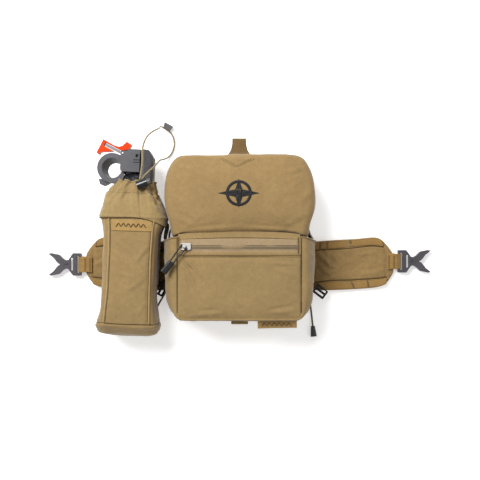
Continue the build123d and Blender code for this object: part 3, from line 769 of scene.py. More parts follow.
def body_skin():
    """The side pockets and the bottom as one sewn skin, open at the two pocket mouths."""
    loops = []
    for z, half, corner in BODY_LOOPS:
        right = rounded(half, corner, 84, closed=False)
        left = right[::-1] * (-1, 1)
        whole = np.vstack([left[:-1], right])
        loops.append(np.column_stack([whole, np.full(len(whole), z)]))
    rows = smooth_through(BODY_ROWS_AT, loops, np.linspace(0, BODY_ROWS_AT[-1], 40))[:, ::-1]
    x, y, z = rows[..., 0], rows[..., 1], rows[..., 2]
    around = np.linspace(-190, 190, rows.shape[1])[None, :] * np.ones_like(x)
    height = 0.7 * uneven(around, z, 44, 3) + 0.25 * uneven(around, z, 15, 4)
    height *= ramp_between(z, 92, 84) * ramp_between(z, 6, 14)
    mouth = (np.abs(x) > 60) & (y > -30)
    height -= np.where(mouth, 1.6 * ramp_between(y, -22, 0) * dip(z, 66, 16), 0)
    edge = (np.abs(x) > 60) & (y > -60)
    pleat = fold(y, z, -6, 74, -46, 30, 2.4, 1.1) + fold(y, z, -14, 34, -52, 22, 2.2, 0.8)
    height += np.where(edge, pleat, 0)
    bottom = ((-60, 60, 10, 22, 3.0, 0.8), (70, 66, 20, 30, 2.6, 0.7))
    height = wrinkled(height, x, z, bottom, y < -95)
    rows = pushed(rows, height, closed=False)
    grid_mesh("side_pockets_and_base", rows, "cloth", "pack",
              ["side_pocket_right", "side_pocket_left"], closed=False, thick=1.5, held="stretched")
    tubes("pocket_mouth_binding", [rows[:, 0], rows[:, -1]], "binding", "pack", 1.15)


body_skin()


def lining_with_painted_shade(side, word):
    """The inner wall of a side pocket, seen through its open mouth: a dark sheet that is partly the real
    lining and partly painted shade, reaching further out and up on the left to fill the shadow that the pouch
    casts into the gap.
    """
    z, y = np.meshgrid(np.linspace(9, 54, 14), np.linspace(-10, 15.5 - 4.5 * side, 20), indexing="ij")
    # The wider flare on the left is painted shade for the pouch's shadow.
    shade_flare = (9.0 if side < 0 else 4.0) * (1 - (z - 9) / 45)
    x = np.interp(z, [9, 26, 46, 54], [85.5, 91.0, 92.0, 89.5]) + shade_flare * ramp_between(y, -3, 2)
    x = x - (5.0 + 2.5 * side) * ramp_between(y, 2, 16) + 0.4 * uneven(y, z, 14, 12)
    grid = np.stack([side * x, y, z], 2)
    grid_mesh(f"pocket_lining_with_painted_shade_{word}", grid, "mesh", "pack", closed=False, thick=0.8, held="hung")


for lining_word, lining_side in SIDES:
    lining_with_painted_shade(lining_side, lining_word)
TUB_HALF = [(75.5, -98.2), (76.4, 9), (85.4, 42), (85.2, 72), (74.0, 98.2)]


def mirrored(half):
    """A whole outline from its right half."""
    return half + [(-x, y) for x, y in reversed(half)]


def rim_height(y):
    """The tub's rim, which slopes down from the hinge to the top edge."""
    return 71.0 - 35.0 * ramp_between(y, 9, 99)


TUB_WALL = 4.2
TUB_RIM = 2.1
TUB_BOTTOM = 6.8
TUB_FLOOR = 8.9


def tub():
    """The padded tub that holds the binoculars: outer wall, rolled rim, inner wall and floor."""
    outer = rounded(mirrored(TUB_HALF), [9, 12, 30, 20, 9, 9, 20, 30, 12, 9], 260)
    reach = np.linalg.norm(outer, axis=1, keepdims=True)
    rim = softened(rim_height(outer[:, 1]), 6)
    top = rim - TUB_RIM
    rows = []

    def ring(inset, z):
        rows.append(np.column_stack([outer * (1 - inset / reach), z]))

    for share in np.linspace(0, 1, 14):
        ring(0.5 - 0.5 * math.sin(math.pi * share), TUB_BOTTOM + (top - TUB_BOTTOM) * share)
    for turn in np.linspace(0, math.pi, 8)[1:-1]:
        ring(0.5 + (TUB_WALL - 0.5) / 2 * (1 - math.cos(turn)), top + TUB_RIM * math.sin(turn))
    for share in np.linspace(0, 1, 14):
        ring(TUB_WALL - 0.4 * math.sin(math.pi * share), top + (9.6 - top) * share)
    walls = len(rows)
    for inset in (9, 20, 34, 50, 66):
        ring(inset, np.full(len(outer), TUB_FLOOR))
    rows = np.array(rows)
    height = 0.5 * uneven(rows[..., 0] + rows[..., 1], rows[..., 2], 32, 8)
    rows[:walls] = pushed(rows, height * 0.8)[:walls]
    rows[..., 2] = np.maximum(rows[..., 2], TUB_BOTTOM - 0.3)
    grid_mesh("padded_tub", rows, "cloth", "pack", ["main_shell"], last=True)
    tubes("tub_rim_binding", [looped(resample(rows[16], 160))], "binding", "pack", 1.7)


tub()


def quilted_pad(name, node, body, outline, face, back, lines, crown):
    """A closed thin pad in plan, quilted along lines."""
    loop = rounded(outline, 8, 180)
    rings = pillow(loop, loop.mean(0), 2.6, 1.3, level_at(face), crown, level_at(back), walls=2)
    x, y = rings[..., 0], rings[..., 1]
    dent = sum(groove(x, y, line, 1.6, 0.8) for line in lines)
    rings[..., 2] += dent * (rings[..., 2] > (face + back) / 2)
    grid_mesh(name, rings, "lining", body, [node], first=True, last=True)


def diamonds(low_x, high_x, low_y, high_y, pitch):
    """Quilting lines that cross at right angles."""
    lines = []
    reach = high_y - low_y
    for start in np.arange(low_x - reach, high_x, pitch):
        lines.append([(start, low_y), (start + reach, high_y)])
        lines.append([(start + reach, low_y), (start, high_y)])
    return lines


LINER_HALF = [(69.5, -95.5), (70.5, 5), (78.5, 42), (76.5, 68), (66.5, 91.5)]
quilted_pad("back_liner", "liner_back_pad", "pack", mirrored(LINER_HALF), 11.6, 9.2,
            diamonds(-80, 80, -96, 92, 34), crown=0.7)
LID_LINER_HALF = [(68, 34), (78, 46), (78, 70), (72, 86)]
quilted_pad("lid_foam_liner", "lid_liner", "lid", mirrored(LID_LINER_HALF), 82.3, 79.8,
            diamonds(-80, 80, 34, 86, 26), crown=0.2)
BASE_LINER_HALF = 65.6
BASE_LINER_LOW = 12.6
BASE_LINER_HIGH = 65.4


def base_liner():
    """The upright foam pad against the pack's bottom wall."""
    z, x = np.meshgrid(np.linspace(BASE_LINER_LOW, BASE_LINER_HIGH, 26),
                       np.linspace(-BASE_LINER_HALF, BASE_LINER_HALF, 60), indexing="ij")
    edge = np.minimum(BASE_LINER_HALF - np.abs(x), np.minimum(z - BASE_LINER_LOW, BASE_LINER_HIGH - z))
    face = -94.6 + np.clip(edge / 3, 0, 1) ** 0.5
    face += 0.25 * np.cos(x / 22 * math.pi) * np.clip(edge / 6, 0, 1)
    rows = np.stack([x, face, z], 2)
    grid_mesh("base_liner", rows, "lining", "pack", ["liner_base_pad"], closed=False, thick=-1.2)


base_liner()

BACK_HALF = [(77.5, -101.5), (81.5, -60), (83.5, 0), (86.5, 42), (84.5, 75), (73.5, 102.5)]


def back_pad():
    """The spacer-mesh back panel, with air channels in its worn face and a bound edge."""
    loop = rounded(mirrored(BACK_HALF), 16, 220)
    reach = np.linalg.norm(loop, axis=1, keepdims=True)
    flat = np.ones(len(loop))
    face = loop * (1 - 3.0 / reach)
    rows = [np.column_stack([face * share, 5.8 * flat]) for share in np.linspace(0.03, 1, 40)]
    for inset, z in ((1.2, 5.3), (0.2, 4.0), (0.0, 3.0), (0.2, 2.0), (1.2, 0.8)):
        rows.append(np.column_stack([loop * (1 - inset / reach), z * flat]))
    under = np.array([np.column_stack([face * share, 0.3 * flat]) for share in np.linspace(1, 0.03, 70)])
    x, y = under[..., 0], under[..., 1]
    dent = np.zeros_like(x)
    for at in (-27, 27):
        dent = np.maximum(dent, dip(x, at, 3.2) * ramp_between(np.abs(y), 96, 86))
    for at in (-58, -6, 46):
        dent = np.maximum(dent, dip(y, at, 3.2) * ramp_between(np.abs(x), 76, 68))
    under[..., 2] += 1.8 * dent
    grid_mesh("spacer_mesh_back", np.concatenate([rows, under]), "mesh", "pack", ["back_panel"],
              first=True, last=True)
    edge = np.column_stack([loop * (1 + 0.4 / reach), 3.0 * flat])
    tubes("back_edge_binding", [looped(edge)], "binding", "pack", 1.9)


back_pad()


# ---- front pocket

FRONT_OUTLINE = [(-75.0, -97.6), (-75.0, -18.2), (74.2, -18.2), (74.2, -97.6)]
FRONT_FACE = 89.8
FRONT_BACK = 84.0
FRONT_FOLDS = (
    (-72, -16, -44, -46, 2.0, 1.0),
    (-73, -22, -52, -58, 2.2, 0.9),
    (-72, -26, -62, -64, 2.0, 0.8),
    (-74, -30, -54, -40, 1.6, 0.6),
    (24, -26, 73, -30, 2.4, 0.8),
    (40, -34, 73, -46, 2.6, 0.6),
    (-60, -92, -20, -88, 3.0, 0.7),
    (30, -90, 70, -84, 3.0, 0.7),
    (-20, -22, 30, -27, 2.4, 0.5),
    (52, -60, 73, -78, 2.6, 0.6),
)


def front_face(x, y):
    """The front's height, which drops to the bottom edge."""
    return FRONT_FACE - 3.0 * ramp_between(y, -84, -97.6) ** 2


def front_panel():
    """The pocket's front: a padded panel with wrinkles fanning out from the zipper's closed end."""
    loop = rounded(FRONT_OUTLINE, [6, 2, 2, 6], 330)
    rings = pillow(loop, (-0.4, -58.0), 1.9, 2.4, front_face, 2.6, level_at(FRONT_BACK), walls=2)
    x, y = rings[..., 0], rings[..., 1]
    height = 0.6 * uneven(x, y, 58, 21) + 0.2 * uneven(x, y, 24, 22)
    height = wrinkled(height, x, y, FRONT_FOLDS, 1.7)
    height *= ramp_between(line_distance(x, y, FRONT_OUTLINE, True), 0.5, 9) * (rings[..., 2] > 86)
    height += groove(x, y, [(-73, -21.0), (72.5, -21.0)], 1.1, 0.5) * (rings[..., 2] > 86)
    piece = grid_mesh("front_panel", pushed(rings, height), "cloth", "pack",
                      ["front_pocket_shell"], first=True)
    puff(piece, 1.6, lambda p: p[:, 2] < 88.4)
    seam = Skin(piece).down([(-73, -20.9), (72.4, -20.9)], 0.12)
    tubes("front_topstitch", stitches([seam]), "thread", "pack", 0.28)


front_panel()


def band_z(x, y):
    """Height of the zipper band and the gusset above it."""
    tilt = np.interp(y, [-19, -17, 0, 4, 9.5, 12], [90.9, 91.2, 88.2, 85.8, 80.5, 78])
    ends = 2.6 * ramp_between(np.abs(x), 66, 76) ** 2
    return tilt - ends + 0.25 * uneven(x, y * 2, 50, 31)


def gusset(name, low, high, lift, held=None):
    """A cloth band across the pocket, from low to high in Y and lifted off the zipper band."""
    x, t = np.meshgrid(np.linspace(-74.6, 73.8, 220), np.linspace(0, 1, 26), indexing="xy")
    y = low(x) + (high(x) - low(x)) * t
    grid = np.stack([x, y, band_z(x, y) + lift(y)], 2)
    grid_mesh(name, grid, "cloth", "pack", closed=False, thick=1.2, held=held)


gusset("pocket_gusset", lambda x: 3.2 - 2.4 * np.abs(x / 74) ** 2, lambda x: 10.6 - 3.4 * np.abs(x / 74) ** 3,
       lambda y: 0.9)
gusset("zipper_flap_lower", lambda x: -18.9 + 0 * x, lambda x: -14.4 + 0 * x,
       lambda y: 0.5 + 0.35 * np.sin(np.clip((y + 18.9) / 4.5, 0, 1) * math.pi))
gusset("pocket_band_backing", lambda x: -17.5 + 0 * x, lambda x: 5.0 + 0 * x, lambda y: -1.3, "stretched")
COIL_Y = -8.5


def zipper_tapes():
    """Coated tapes with fine lengthwise ribs, one each side of the coil."""
    for number, (low, high) in enumerate(((-14.6, -8.8), (-8.2, 2.2))):
        x, y = np.meshgrid(np.linspace(-71, 72, 180), np.linspace(low, high, 34), indexing="xy")
        y = y + (y > -8) * (-1.6 * (x / 72) ** 2) * ramp_between(y, -7, 2.2)
        ribs = 0.11 * np.cos(y * math.tau / 1.35)
        rise = 1.05 * np.exp(-(((y - COIL_Y) / 3.0) ** 4))
        z = band_z(x, y) + 0.25 + ribs + 0.05 * uneven(x, y, 22, 37) + rise
        grid_mesh(f"zipper_tape_{number}", np.stack([x, y, z], 2), "tape", "pack",
                  () if number else ["zipper_tape"], closed=False, thick=0.7, level=0)


zipper_tapes()


def end_strip():
    """The bound fabric tab that closes the zipper's far end, with the shadow along it."""
    y, x = np.meshgrid(np.linspace(-18.4, 3.6, 24), np.linspace(71.2, 74.4, 8), indexing="xy")
    z = band_z(x, y) + 0.9 - 0.5 * ramp_between(x, 72, 74)
    grid_mesh("zipper_end_tab", facing_up(np.stack([x, y, z], 2)), "cloth", "pack", closed=False,
              thick=1.0)
    line = [(70.9, y, float(band_z(np.array(70.9), np.array(y))) + 0.8) for y in np.linspace(-17, 3, 14)]
    tubes("zipper_end_shadow", [line], "seam", "pack", 0.6)


end_strip()
# Painted shadow: dark tubes along the pocket's side seams stand for the shade in the seams.
side_seams = [[(x, y, 88.3) for y in np.linspace(-88, 3.0, 50)] for x in (-75.6, 74.8)]
tubes("front_edge_seam_shadow", side_seams, "seam", "pack", 0.6)


# ---- lid

LID_LINE = [
    (0, 9.8), (58, 8.4), (73, 7.2), (82.0, 2.6), (86.0, 21.5),
    (91.0, 39), (92.0, 62), (88.4, 86.5), (77.5, 103.8), (0, 104.6),
]
LID_CORNERS = [2, 20, 6, 5, 14, 20, 26, 22, 11, 4]
LID_FOLDS = (
    (-84, 30, -52, 16, 3.0, 0.8),
    (84, 34, 50, 15, 3.0, 0.7),
    (-60, 12, -10, 15, 2.2, 0.45),
    (6, 14, 64, 12, 2.2, 0.45),
    (-80, 92, -56, 84, 3.0, 0.7),
    (82, 90, 58, 82, 3.0, 0.7),
    (-88, 60, -70, 40, 3.4, 0.6),
    (88, 62, 72, 42, 3.4, 0.6),
)


def lid_face(x, y):
    """The height of the lid's front, which rises from the hinge and drops at the top edge."""
    rise = ramp_between(y, 6, 34)
    rise = rise * rise * (3 - 2 * rise)
    drop = ramp_between(y, 78, 104) ** 2
    return 84.6 + 3.6 * rise - 4.4 * drop - 2.2 * np.abs(x / 88) ** 3


def lid_flap(x, y):
    """The height of the flaps' lower edge, which is cut away at the hinge."""
    edge = np.interp(y, [2, 12, 22, 60, 103], [66, 66, 57, 36, 15])
    hinge = ramp_between(np.abs(x), 80, 72) * ramp_between(y, 14, 10)
    return edge + hinge * (77.0 - edge)


def lid_hood():
    """The padded hood: a domed front rolled over into flaps that cover the tub's rim."""
    half = rounded(LID_LINE, LID_CORNERS, 180, closed=False)
    loop = resample(np.vstack([half[:-1], (half * (-1, 1))[::-1][:-1]]), 320)
    rings = pillow(loop, (0.0, 60.0), 2.3, 9.5, lid_face, 3.4, lambda x, y: softened(lid_flap(x, y), 4),
                   walls=16, bulge=1.2)
    x, y, z = rings[..., 0], rings[..., 1], rings[..., 2]
    height = 0.8 * uneven(x, y, 66, 51) + 0.32 * uneven(x, y + z, 24, 52)
    height = wrinkled(height, x, y, LID_FOLDS)
    face = z > 66
    height += face * groove(x, y, [(-23, 97.5), (-3.7, 87.5), (18.3, 97.5)], 1.3, 0.55)
    height += face * np.exp(-((np.abs(x) / 30) ** 4)) * dip(y, 98, 5)
    rings = pushed(rings, height)
    piece = grid_mesh("lid_hood", rings, "lid_cloth", "lid", ["lid_shell"], first=True)
    add(piece, "SOLIDIFY", thickness=3.4 * MM, offset=-1.0, use_even_offset=False)
    tubes("lid_edge_binding", [looped(resample(rings[-1], 260))], "binding", "lid", 1.5)
    return Skin(piece)


hood_skin = lid_hood()
LID_VEES = (
    [(-23.5, 98.5), (-4.6, 88.2), (-2.8, 88.2), (18.8, 98.5)],
    [(-21.0, 99.5), (-3.7, 90.0), (16.4, 99.5)],
)
tubes("lid_tab_stitching", stitches([hood_skin.down(vee, 0.12) for vee in LID_VEES]), "thread", "lid",
      0.3)


def signed_power(values, power):
    """A power of each value's size, with its sign kept."""
    return np.sign(values) * np.abs(values) ** power


def pull_tab():
    """A webbing loop folded flat, flaring where it is caught in the lid's upper seam."""
    rings = []
    turn = np.linspace(0, math.tau, 72, endpoint=False)
    for y in np.linspace(96.5, 125.2, 36):
        half = np.interp(y, [96.5, 102, 106, 111, 118, 125.2], [17.8, 16.2, 13.0, 10.2, 8.7, 8.5])
        z = np.interp(y, [96.5, 101, 104, 108, 114, 125.2], [85.0, 80.2, 73.5, 68.4, 67.0, 66.0])
        thick = np.interp(y, [96.5, 104, 112, 122, 125.2], [1.0, 1.8, 2.2, 2.5, 0.6])
        wide = signed_power(np.cos(turn), 0.35) * half
        tall = signed_power(np.sin(turn), 0.8) * thick / 2
        rings.append(np.column_stack([wide - 0.5, np.full(72, y), z + tall + 0.12 * np.sin(wide * 1.1)]))
    # The loop's darker look is painted shade.
    grid_mesh("lid_pull_loop", rings, "tab_webbing_painted_shade", "lid", ["lid_pull_tab"], first=True,
              last=True, held="folded", layers=2)


pull_tab()
ROSE_CENTRE = (-0.9, 56.5)
ROSE_POINTS = (26.0, 17.68, 26.0, 17.68)
ROSE_WAIST = 6.4
ROSE_RING = ((12.2, 0.1), (12.7, 0.55), (14.0, 0.75), (15.3, 0.55), (15.8, 0.1))


def rose():
    """An embroidered compass rose: satin-stitched points round a ring."""
    verts = []
    faces = []

    def patch(tip, waist, rows=14, columns=8):
        base = len(verts)
        for i in range(rows + 1):
            for j in range(columns + 1):
                t, u = i / rows, j / columns
                place = tip * t + (waist * t - tip * t) * u + ROSE_CENTRE
                rim = min(4 * u * (1 - u), 4 * t * (1 - t) * 3, 1.0)
                verts.append((*place, 0.15 + 0.55 * rim + (0.10 if i % 2 else -0.10) * rim))
        for i in range(rows):
            for j in range(columns):
                k = base + i * (columns + 1) + j
                faces.append((k, k + 1, k + columns + 2, k + columns + 1))

    for quarter, reach in enumerate(ROSE_POINTS):
        angle = quarter * math.pi / 2
        tip = reach * np.array([math.cos(angle), math.sin(angle)])
        for turn in (angle - math.pi / 4, angle + math.pi / 4):
            patch(tip, ROSE_WAIST * np.array([math.cos(turn), math.sin(turn)]))
    base = len(verts)
    count = 150
    for ring, (radius, lift) in enumerate(ROSE_RING):
        one, two = base + (ring - 1) * count, base + ring * count
        for k in range(count):
            angle = math.tau * k / count
            place = radius * np.array([math.cos(angle), math.sin(angle)]) + ROSE_CENTRE
            verts.append((*place, lift + (0.12 if k % 2 else -0.12)))
            if ring:
                n = (k + 1) % count
                faces.append((one + k, one + n, two + n, two + k))
    placed = [hood_skin.drop(*vert) for vert in verts]
    piece = new_mesh("lid_compass_rose", placed, faces, "satin", "lid")
    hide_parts("lid_emblem")


rose()


# ---- wings

WING_TOP = [
    (95.5, -2.2), (98.3, -1.9), (136, 0.5), (152, 1.2), (169.3, 3.4), (178, 3.4), (185, -0.2), (196.4, -13.7),
]
WING_END = [(199.2, -22), (199.4, -38), (198.6, -43)]
WING_BOTTOM = [(189.5, -57.6), (176.7, -61.6), (144.7, -63.8), (107, -65.4), (95.5, -64.8)]
PANEL_TOP = [(98, -12.6), (118, -11.4), (136, -10.6), (154.5, -8.4), (171.8, -6.6), (186, -8.2)]
PANEL_BOTTOM = [(98, -55.2), (118.7, -52.8), (147.1, -52.2), (175.5, -50.2), (189.7, -48.6)]
WING_CORNERS = [1, 2, 14, 14, 12, 10, 12, 12, 10, 8, 6, 10, 10, 14, 14, 1]
WING_FACE = 8.6
WING_BACK = 1.2
WING_FOLDS = (
    (99, -16, 124, -38, 3.0, 1.6),
    (112, -14, 118, -46, 3.2, 1.3),
    (101, -30, 122, -50, 2.8, 1.3),
    (100, -44, 128, -40, 2.0, 0.7),
    (150, -20, 176, -16, 2.6, 0.6),
    (150, -46, 184, -40, 2.6, 0.6),
    (168, -24, 190, -34, 2.4, 0.6),
    (124, -16, 140, -30, 2.4, 0.6),
)
# Each row of webbing: its name, the side of the wing that it follows, its edges and its bar tacks.
WING_ROWS = (
    ("upper", 1, WING_TOP[1:7], PANEL_TOP, (104, 113, 143, 186)),
    ("lower", -1, WING_BOTTOM[:4][::-1], PANEL_BOTTOM, (109, 148.5, 167)),
)


def flip(points, side):
    """A right-hand outline on the wanted side."""
    return [(side * x, y) for x, y in points]


def wing(side, word):
    """A padded wing with a row of bar-tacked webbing along its upper and lower edges."""
    body = f"wing_{word}"
    loop = rounded(flip(WING_TOP + WING_END + WING_BOTTOM, side), WING_CORNERS, 280)[::side]
    rings = pillow(loop, (side * 148.0, -31.0), 1.9, 3.2, level_at(WING_FACE), 1.5, level_at(WING_BACK),
                   walls=3, bulge=0.4)
    x, y = rings[..., 0] * side, rings[..., 1]
    height = 0.5 * uneven(x, y, 42, 61 + side) + 0.3 * uneven(x, y, 17, 63 + side)
    height = wrinkled(height, x, y, WING_FOLDS, 1.5)
    height *= rings[..., 2] > 7
    height += groove(x, y, PANEL_TOP, 1.5, 1.7) + groove(x, y, PANEL_BOTTOM, 1.5, 1.7)
    height -= 0.9 * dip(x, 188.5, 1.6) * (rings[..., 2] > 7)
    rings = pushed(rings, height)
    rings[..., 2] = np.maximum(rings[..., 2], 0.6)
    pad = grid_mesh(f"wing_cushion_{word}", rings, "wing_cloth", body, [f"wing_pad_{word}"],
                    first=True, last=True)
    puff(pad, 1.4, lambda p: p[:, 2] < 6)
    on_pad = Skin(pad)
    for row, up, outer, inner, tacks in WING_ROWS:
        name = f"{row}_{word}"
        one = resample(rounded(flip(outer, side), 12, 120, closed=False), 120, closed=False) - (0, 0.4 * up)
        two = resample(rounded(flip(inner, side), 12, 120, closed=False), 120, closed=False) + (0, 0.1 * up)
        share = np.linspace(0, 1, 9)[:, None, None]
        flat = one[None] + (two - one)[None] * share
        x, y = flat[..., 0], flat[..., 1]
        wave = 0.5 * np.sin(x * side / 6.1 + side) + 0.35 * np.sin(x * side / 3.3)
        z = 9.6 + 0.22 * wave + 0.5 * np.sin(math.pi * share[..., 0])
        for at in tacks:
            z = z - 0.5 * dip(x * side, at, 2.2)
        grid = facing_up(np.stack([x, y + 0.35 * wave, z], 2))
        strip = grid_mesh(f"webbing_{name}", grid, "webbing", body, [f"wing_webbing_{name}"],
                          closed=False, thick=1.2, held="laid")
        on_strip = Skin(strip)
        bars = []
        for at in tacks:
            k = int(np.argmin(np.abs(one[:, 0] * side - at)))
            start, end = one[k] * 0.94 + two[k] * 0.06, two[k] * 0.94 + one[k] * 0.06
            for shift in (-1.0, -0.5, 0.0, 0.5, 1.0):
                bars.append(on_strip.down([start + (shift, 0), end + (shift, 0)], 0.1, 1.2))
        tubes(f"bar_tacks_{name}", [b for b in bars if len(b) > 2], "thread", body, 0.26)
        # Painted shadow: a dark tube in each panel seam's groove stands for the shade in it.
        tubes(f"panel_seam_shadow_{name}", [on_pad.down(two - (0, up), 0.1)], "seam", body, 0.7)
        rows = [on_strip.down(one * (1 - s) + two * s, 0.08) for s in (0.1, 0.9)]
        tubes(f"webbing_stitch_{name}", stitches(rows), "thread", body, 0.22)


for wing_word, wing_side in SIDES:
    wing(wing_side, wing_word)
BAR = (206.0, 6.3)
BAR_TURN = 2.8
TAB_HALF = 10.2
TAB_MIDDLE = {1: -27.5, -1: -31.5}


def web_tab(side, word):
    """Webbing folded round the buckle's bar and sewn down over the wing's end."""
    path = [(190.2, 9.9), (196, 9.7), (200.6, 7.2)]
    for turn in np.radians(range(-150, 76, 15)):
        path.append((BAR[0] + BAR_TURN * math.cos(turn), BAR[1] + BAR_TURN * math.sin(turn)))
    path += [(202.5, 11.6), (198.5, 12.6), (194, 12.4), (190.0, 12.2)]
    line = resample(path, 60, closed=False)
    middle = TAB_MIDDLE[side]
    along, across = line[:, :1], np.linspace(-TAB_HALF, TAB_HALF, 14)
    x = side * along + 0 * across
    y = middle + across + 0.25 * np.sin(along / 2.2)
    z = line[:, 1:] + 0.12 * np.cos(across / TAB_HALF * 7)
    piece = grid_mesh(f"buckle_tab_{word}", np.stack([x, y, z], 2)[:, ::side], "webbing", f"wing_{word}",
                      [f"wing_tab_{word}"], closed=False, thick=1.2, held="folded")
    on_tab = Skin(piece)
    rows = [on_tab.down([(side * at, middle - 9), (side * at, middle + 9)], 0.1)
            for at in (191.8, 193.0, 198.2, 199.4)]
    tubes(f"tab_stitch_{word}", stitches(rows, 2.4, 1.8), "seam", f"wing_{word}", 0.3)


def anchor(side, word):
    """The sewn gusset between the back panel's edge and the wing."""
    y, x = np.meshgrid(np.linspace(-53, -4, 30), np.linspace(83, 94, 10), indexing="xy")
    z = 7.4 + 0.6 * np.sin(math.pi * ramp_between(x, 83, 94)) + 0.4 * uneven(x, y, 14, 71)
    grid_mesh(f"wing_gusset_{word}", np.stack([side * x, y, z], 2)[::side], "wing_cloth", "pack",
              [f"wing_anchor_{word}"], closed=False, thick=4.5)


for wing_word, wing_side in SIDES:
    web_tab(wing_side, wing_word)
for wing_word, wing_side in SIDES:
    anchor(wing_side, wing_word)

# ---- spray pouch

LEAN = math.radians(-2.5)
POUCH_MIDDLE = (-135.0, -38.0)
# Stations along the pouch: v, then the left, right, back and front of its section and its corner radius.
POUCH_BODY = [
    (65.0, -38.5, 40.2, 13.0, 82.0, 20.0),
    (60.0, -36.5, 38.5, 12.5, 83.5, 17.0),
    (46.0, -34.4, 33.6, 12.0, 85.4, 15.0),
    (20.0, -33.2, 32.2, 11.6, 86.6, 14.0),
    (-20.0, -33.4, 32.6, 11.6, 86.4, 14.0),
    (-45.0, -34.2, 33.6, 12.0, 85.6, 15.0),
    (-56.0, -36.2, 35.4, 12.2, 84.8, 16.0),
    (-64.0, -38.2, 37.0, 12.4, 83.4, 17.0),
]
POUCH_FOOT = [
    (-64.2, -37.6, 36.6, 12.4, 82.6, 17.0),
    (-66.0, -39.2, 37.8, 12.4, 83.0, 17.0),
    (-72.0, -38.4, 37.4, 12.6, 79.0, 17.0),
    (-78.0, -34.6, 33.4, 15.0, 70.0, 18.0),
    (-80.6, -29.0, 28.0, 20.0, 60.0, 18.0),
]
POUCH_COLLAR = [
    (64.6, -39.3, 40.8, 13.6, 82.6, 20.0),
    (74.0, -39.6, 40.2, 14.0, 82.8, 22.0),
    (86.0, -37.2, 34.8, 16.0, 80.6, 25.0),
    (97.0, -32.0, 28.2, 20.5, 76.6, 23.0),
    (105.0, -24.4, 24.6, 24.6, 72.8, 20.0),
    (110.0, -19.6, 23.2, 26.6, 70.4, 19.0),
]


def to_row(grid):
    """From the pouch's own leaning frame to the shared one."""
    out = np.array(grid, float)
    u, v = out[..., 0].copy(), out[..., 1].copy()
    out[..., 0] = POUCH_MIDDLE[0] + u * math.cos(LEAN) - v * math.sin(LEAN)
    out[..., 1] = POUCH_MIDDLE[1] + u * math.sin(LEAN) + v * math.cos(LEAN)
    return out


def pouch_rings(stations, rows, count=200):
    """Rings of rounded rectangles along the pouch, as (u, v, z)."""
    loops = []
    stations = sorted(stations)
    for v, left, right, back, front, corner in stations:
        box = [(left, back), (right, back), (right, front), (left, front)]
        ring = rounded(box, corner, count)
        start = np.argmin(np.hypot(ring[:, 0] - (left + right) / 2, ring[:, 1] - back))
        ring = np.roll(ring, -start, 0)
        loops.append(np.column_stack([ring[:, 0], np.full(count, v), ring[:, 1]]))
    keys = [station[0] for station in stations]
    return smooth_through(keys, loops, np.linspace(keys[0], keys[-1], rows))


def swollen(rings, height):
    """Pouch rings moved out by a height. Their own normals look inwards."""
    return pushed(rings, -height)


def edge_u(v, side):
    """Where the piping of the front's left or right corner runs."""
    if side < 0:
        return np.interp(v, [-64, -27, 21, 50, 64], [-27.6, -24.8, -24.6, -25.4, -27])
    return np.interp(v, [-64, -27, 21, 50, 64], [27.4, 26.6, 26.2, 27.0, 28.6])


POUCH_FOLDS = (
    (-20, 40, 4, 22, 2.4, 0.9),
    (-22, 26, 2, 6, 2.4, 0.8),
    (24, 34, 8, 10, 2.2, 0.8),
    (-22, -46, -2, -58, 2.6, 0.5),
    (23, -36, 12, -54, 2.4, 0.4),
    (-20, 0, 10, -8, 2.6, 0.6),
    (20, -8, -4, -26, 2.6, 0.6),
)


def pouch_body():
    """The sleeve, with a crowned front between two piped corners and lightly waved flanks."""
    rings = pouch_rings(POUCH_BODY, 76)
    u, v, z = rings[..., 0], rings[..., 1], rings[..., 2]
    front = ramp_between(z, 66, 80)
    height = 0.6 * uneven(u, v, 46, 81) + 0.3 * uneven(u + z, v, 20, 82)
    height += front * 1.6 * np.cos(np.clip(u / 27, -1, 1) * math.pi / 2)
    height = wrinkled(height, u, v, POUCH_FOLDS, front)
    for side in (-1, 1):
        off = u - edge_u(v, side)
        height += (z > 70) * (1.0 * dip(off, 0, 1.0) - 0.55 * dip(np.abs(off), 2.1, 1.0))
        height += (side * u > 29) * np.sin(v / 11.0 + side) * 0.5 * ramp_between(np.abs(v), 60, 44)
    return grid_mesh("pouch_sleeve", to_row(swollen(rings, height)), "cloth", "wing_left",
                     ["pouch_shell"], thick=-1.6, held="stretched")


def pouch_foot():
    """The rounded foot below the sleeve."""
    rings = pouch_rings(POUCH_FOOT, 24)
    u, v, z = rings[..., 0], rings[..., 1], rings[..., 2]
    rings = swollen(rings, 0.5 * uneven(u, v + z, 24, 84))
    return grid_mesh("pouch_foot", to_row(rings), "cloth", "wing_left", ["pouch_base"],
                     first=True, held="stretched")


COLLAR_FOLDS = (
    (16, 103, 34, 74, 2.0, 1.5 * 1.3),
    (-16, 104, -30, 80, 2.2, 1.4),
    (10, 106, 24, 86, 1.5, 1.3 * 1.2),
    (-6, 106, -14, 88, 1.8, 1.0),
)


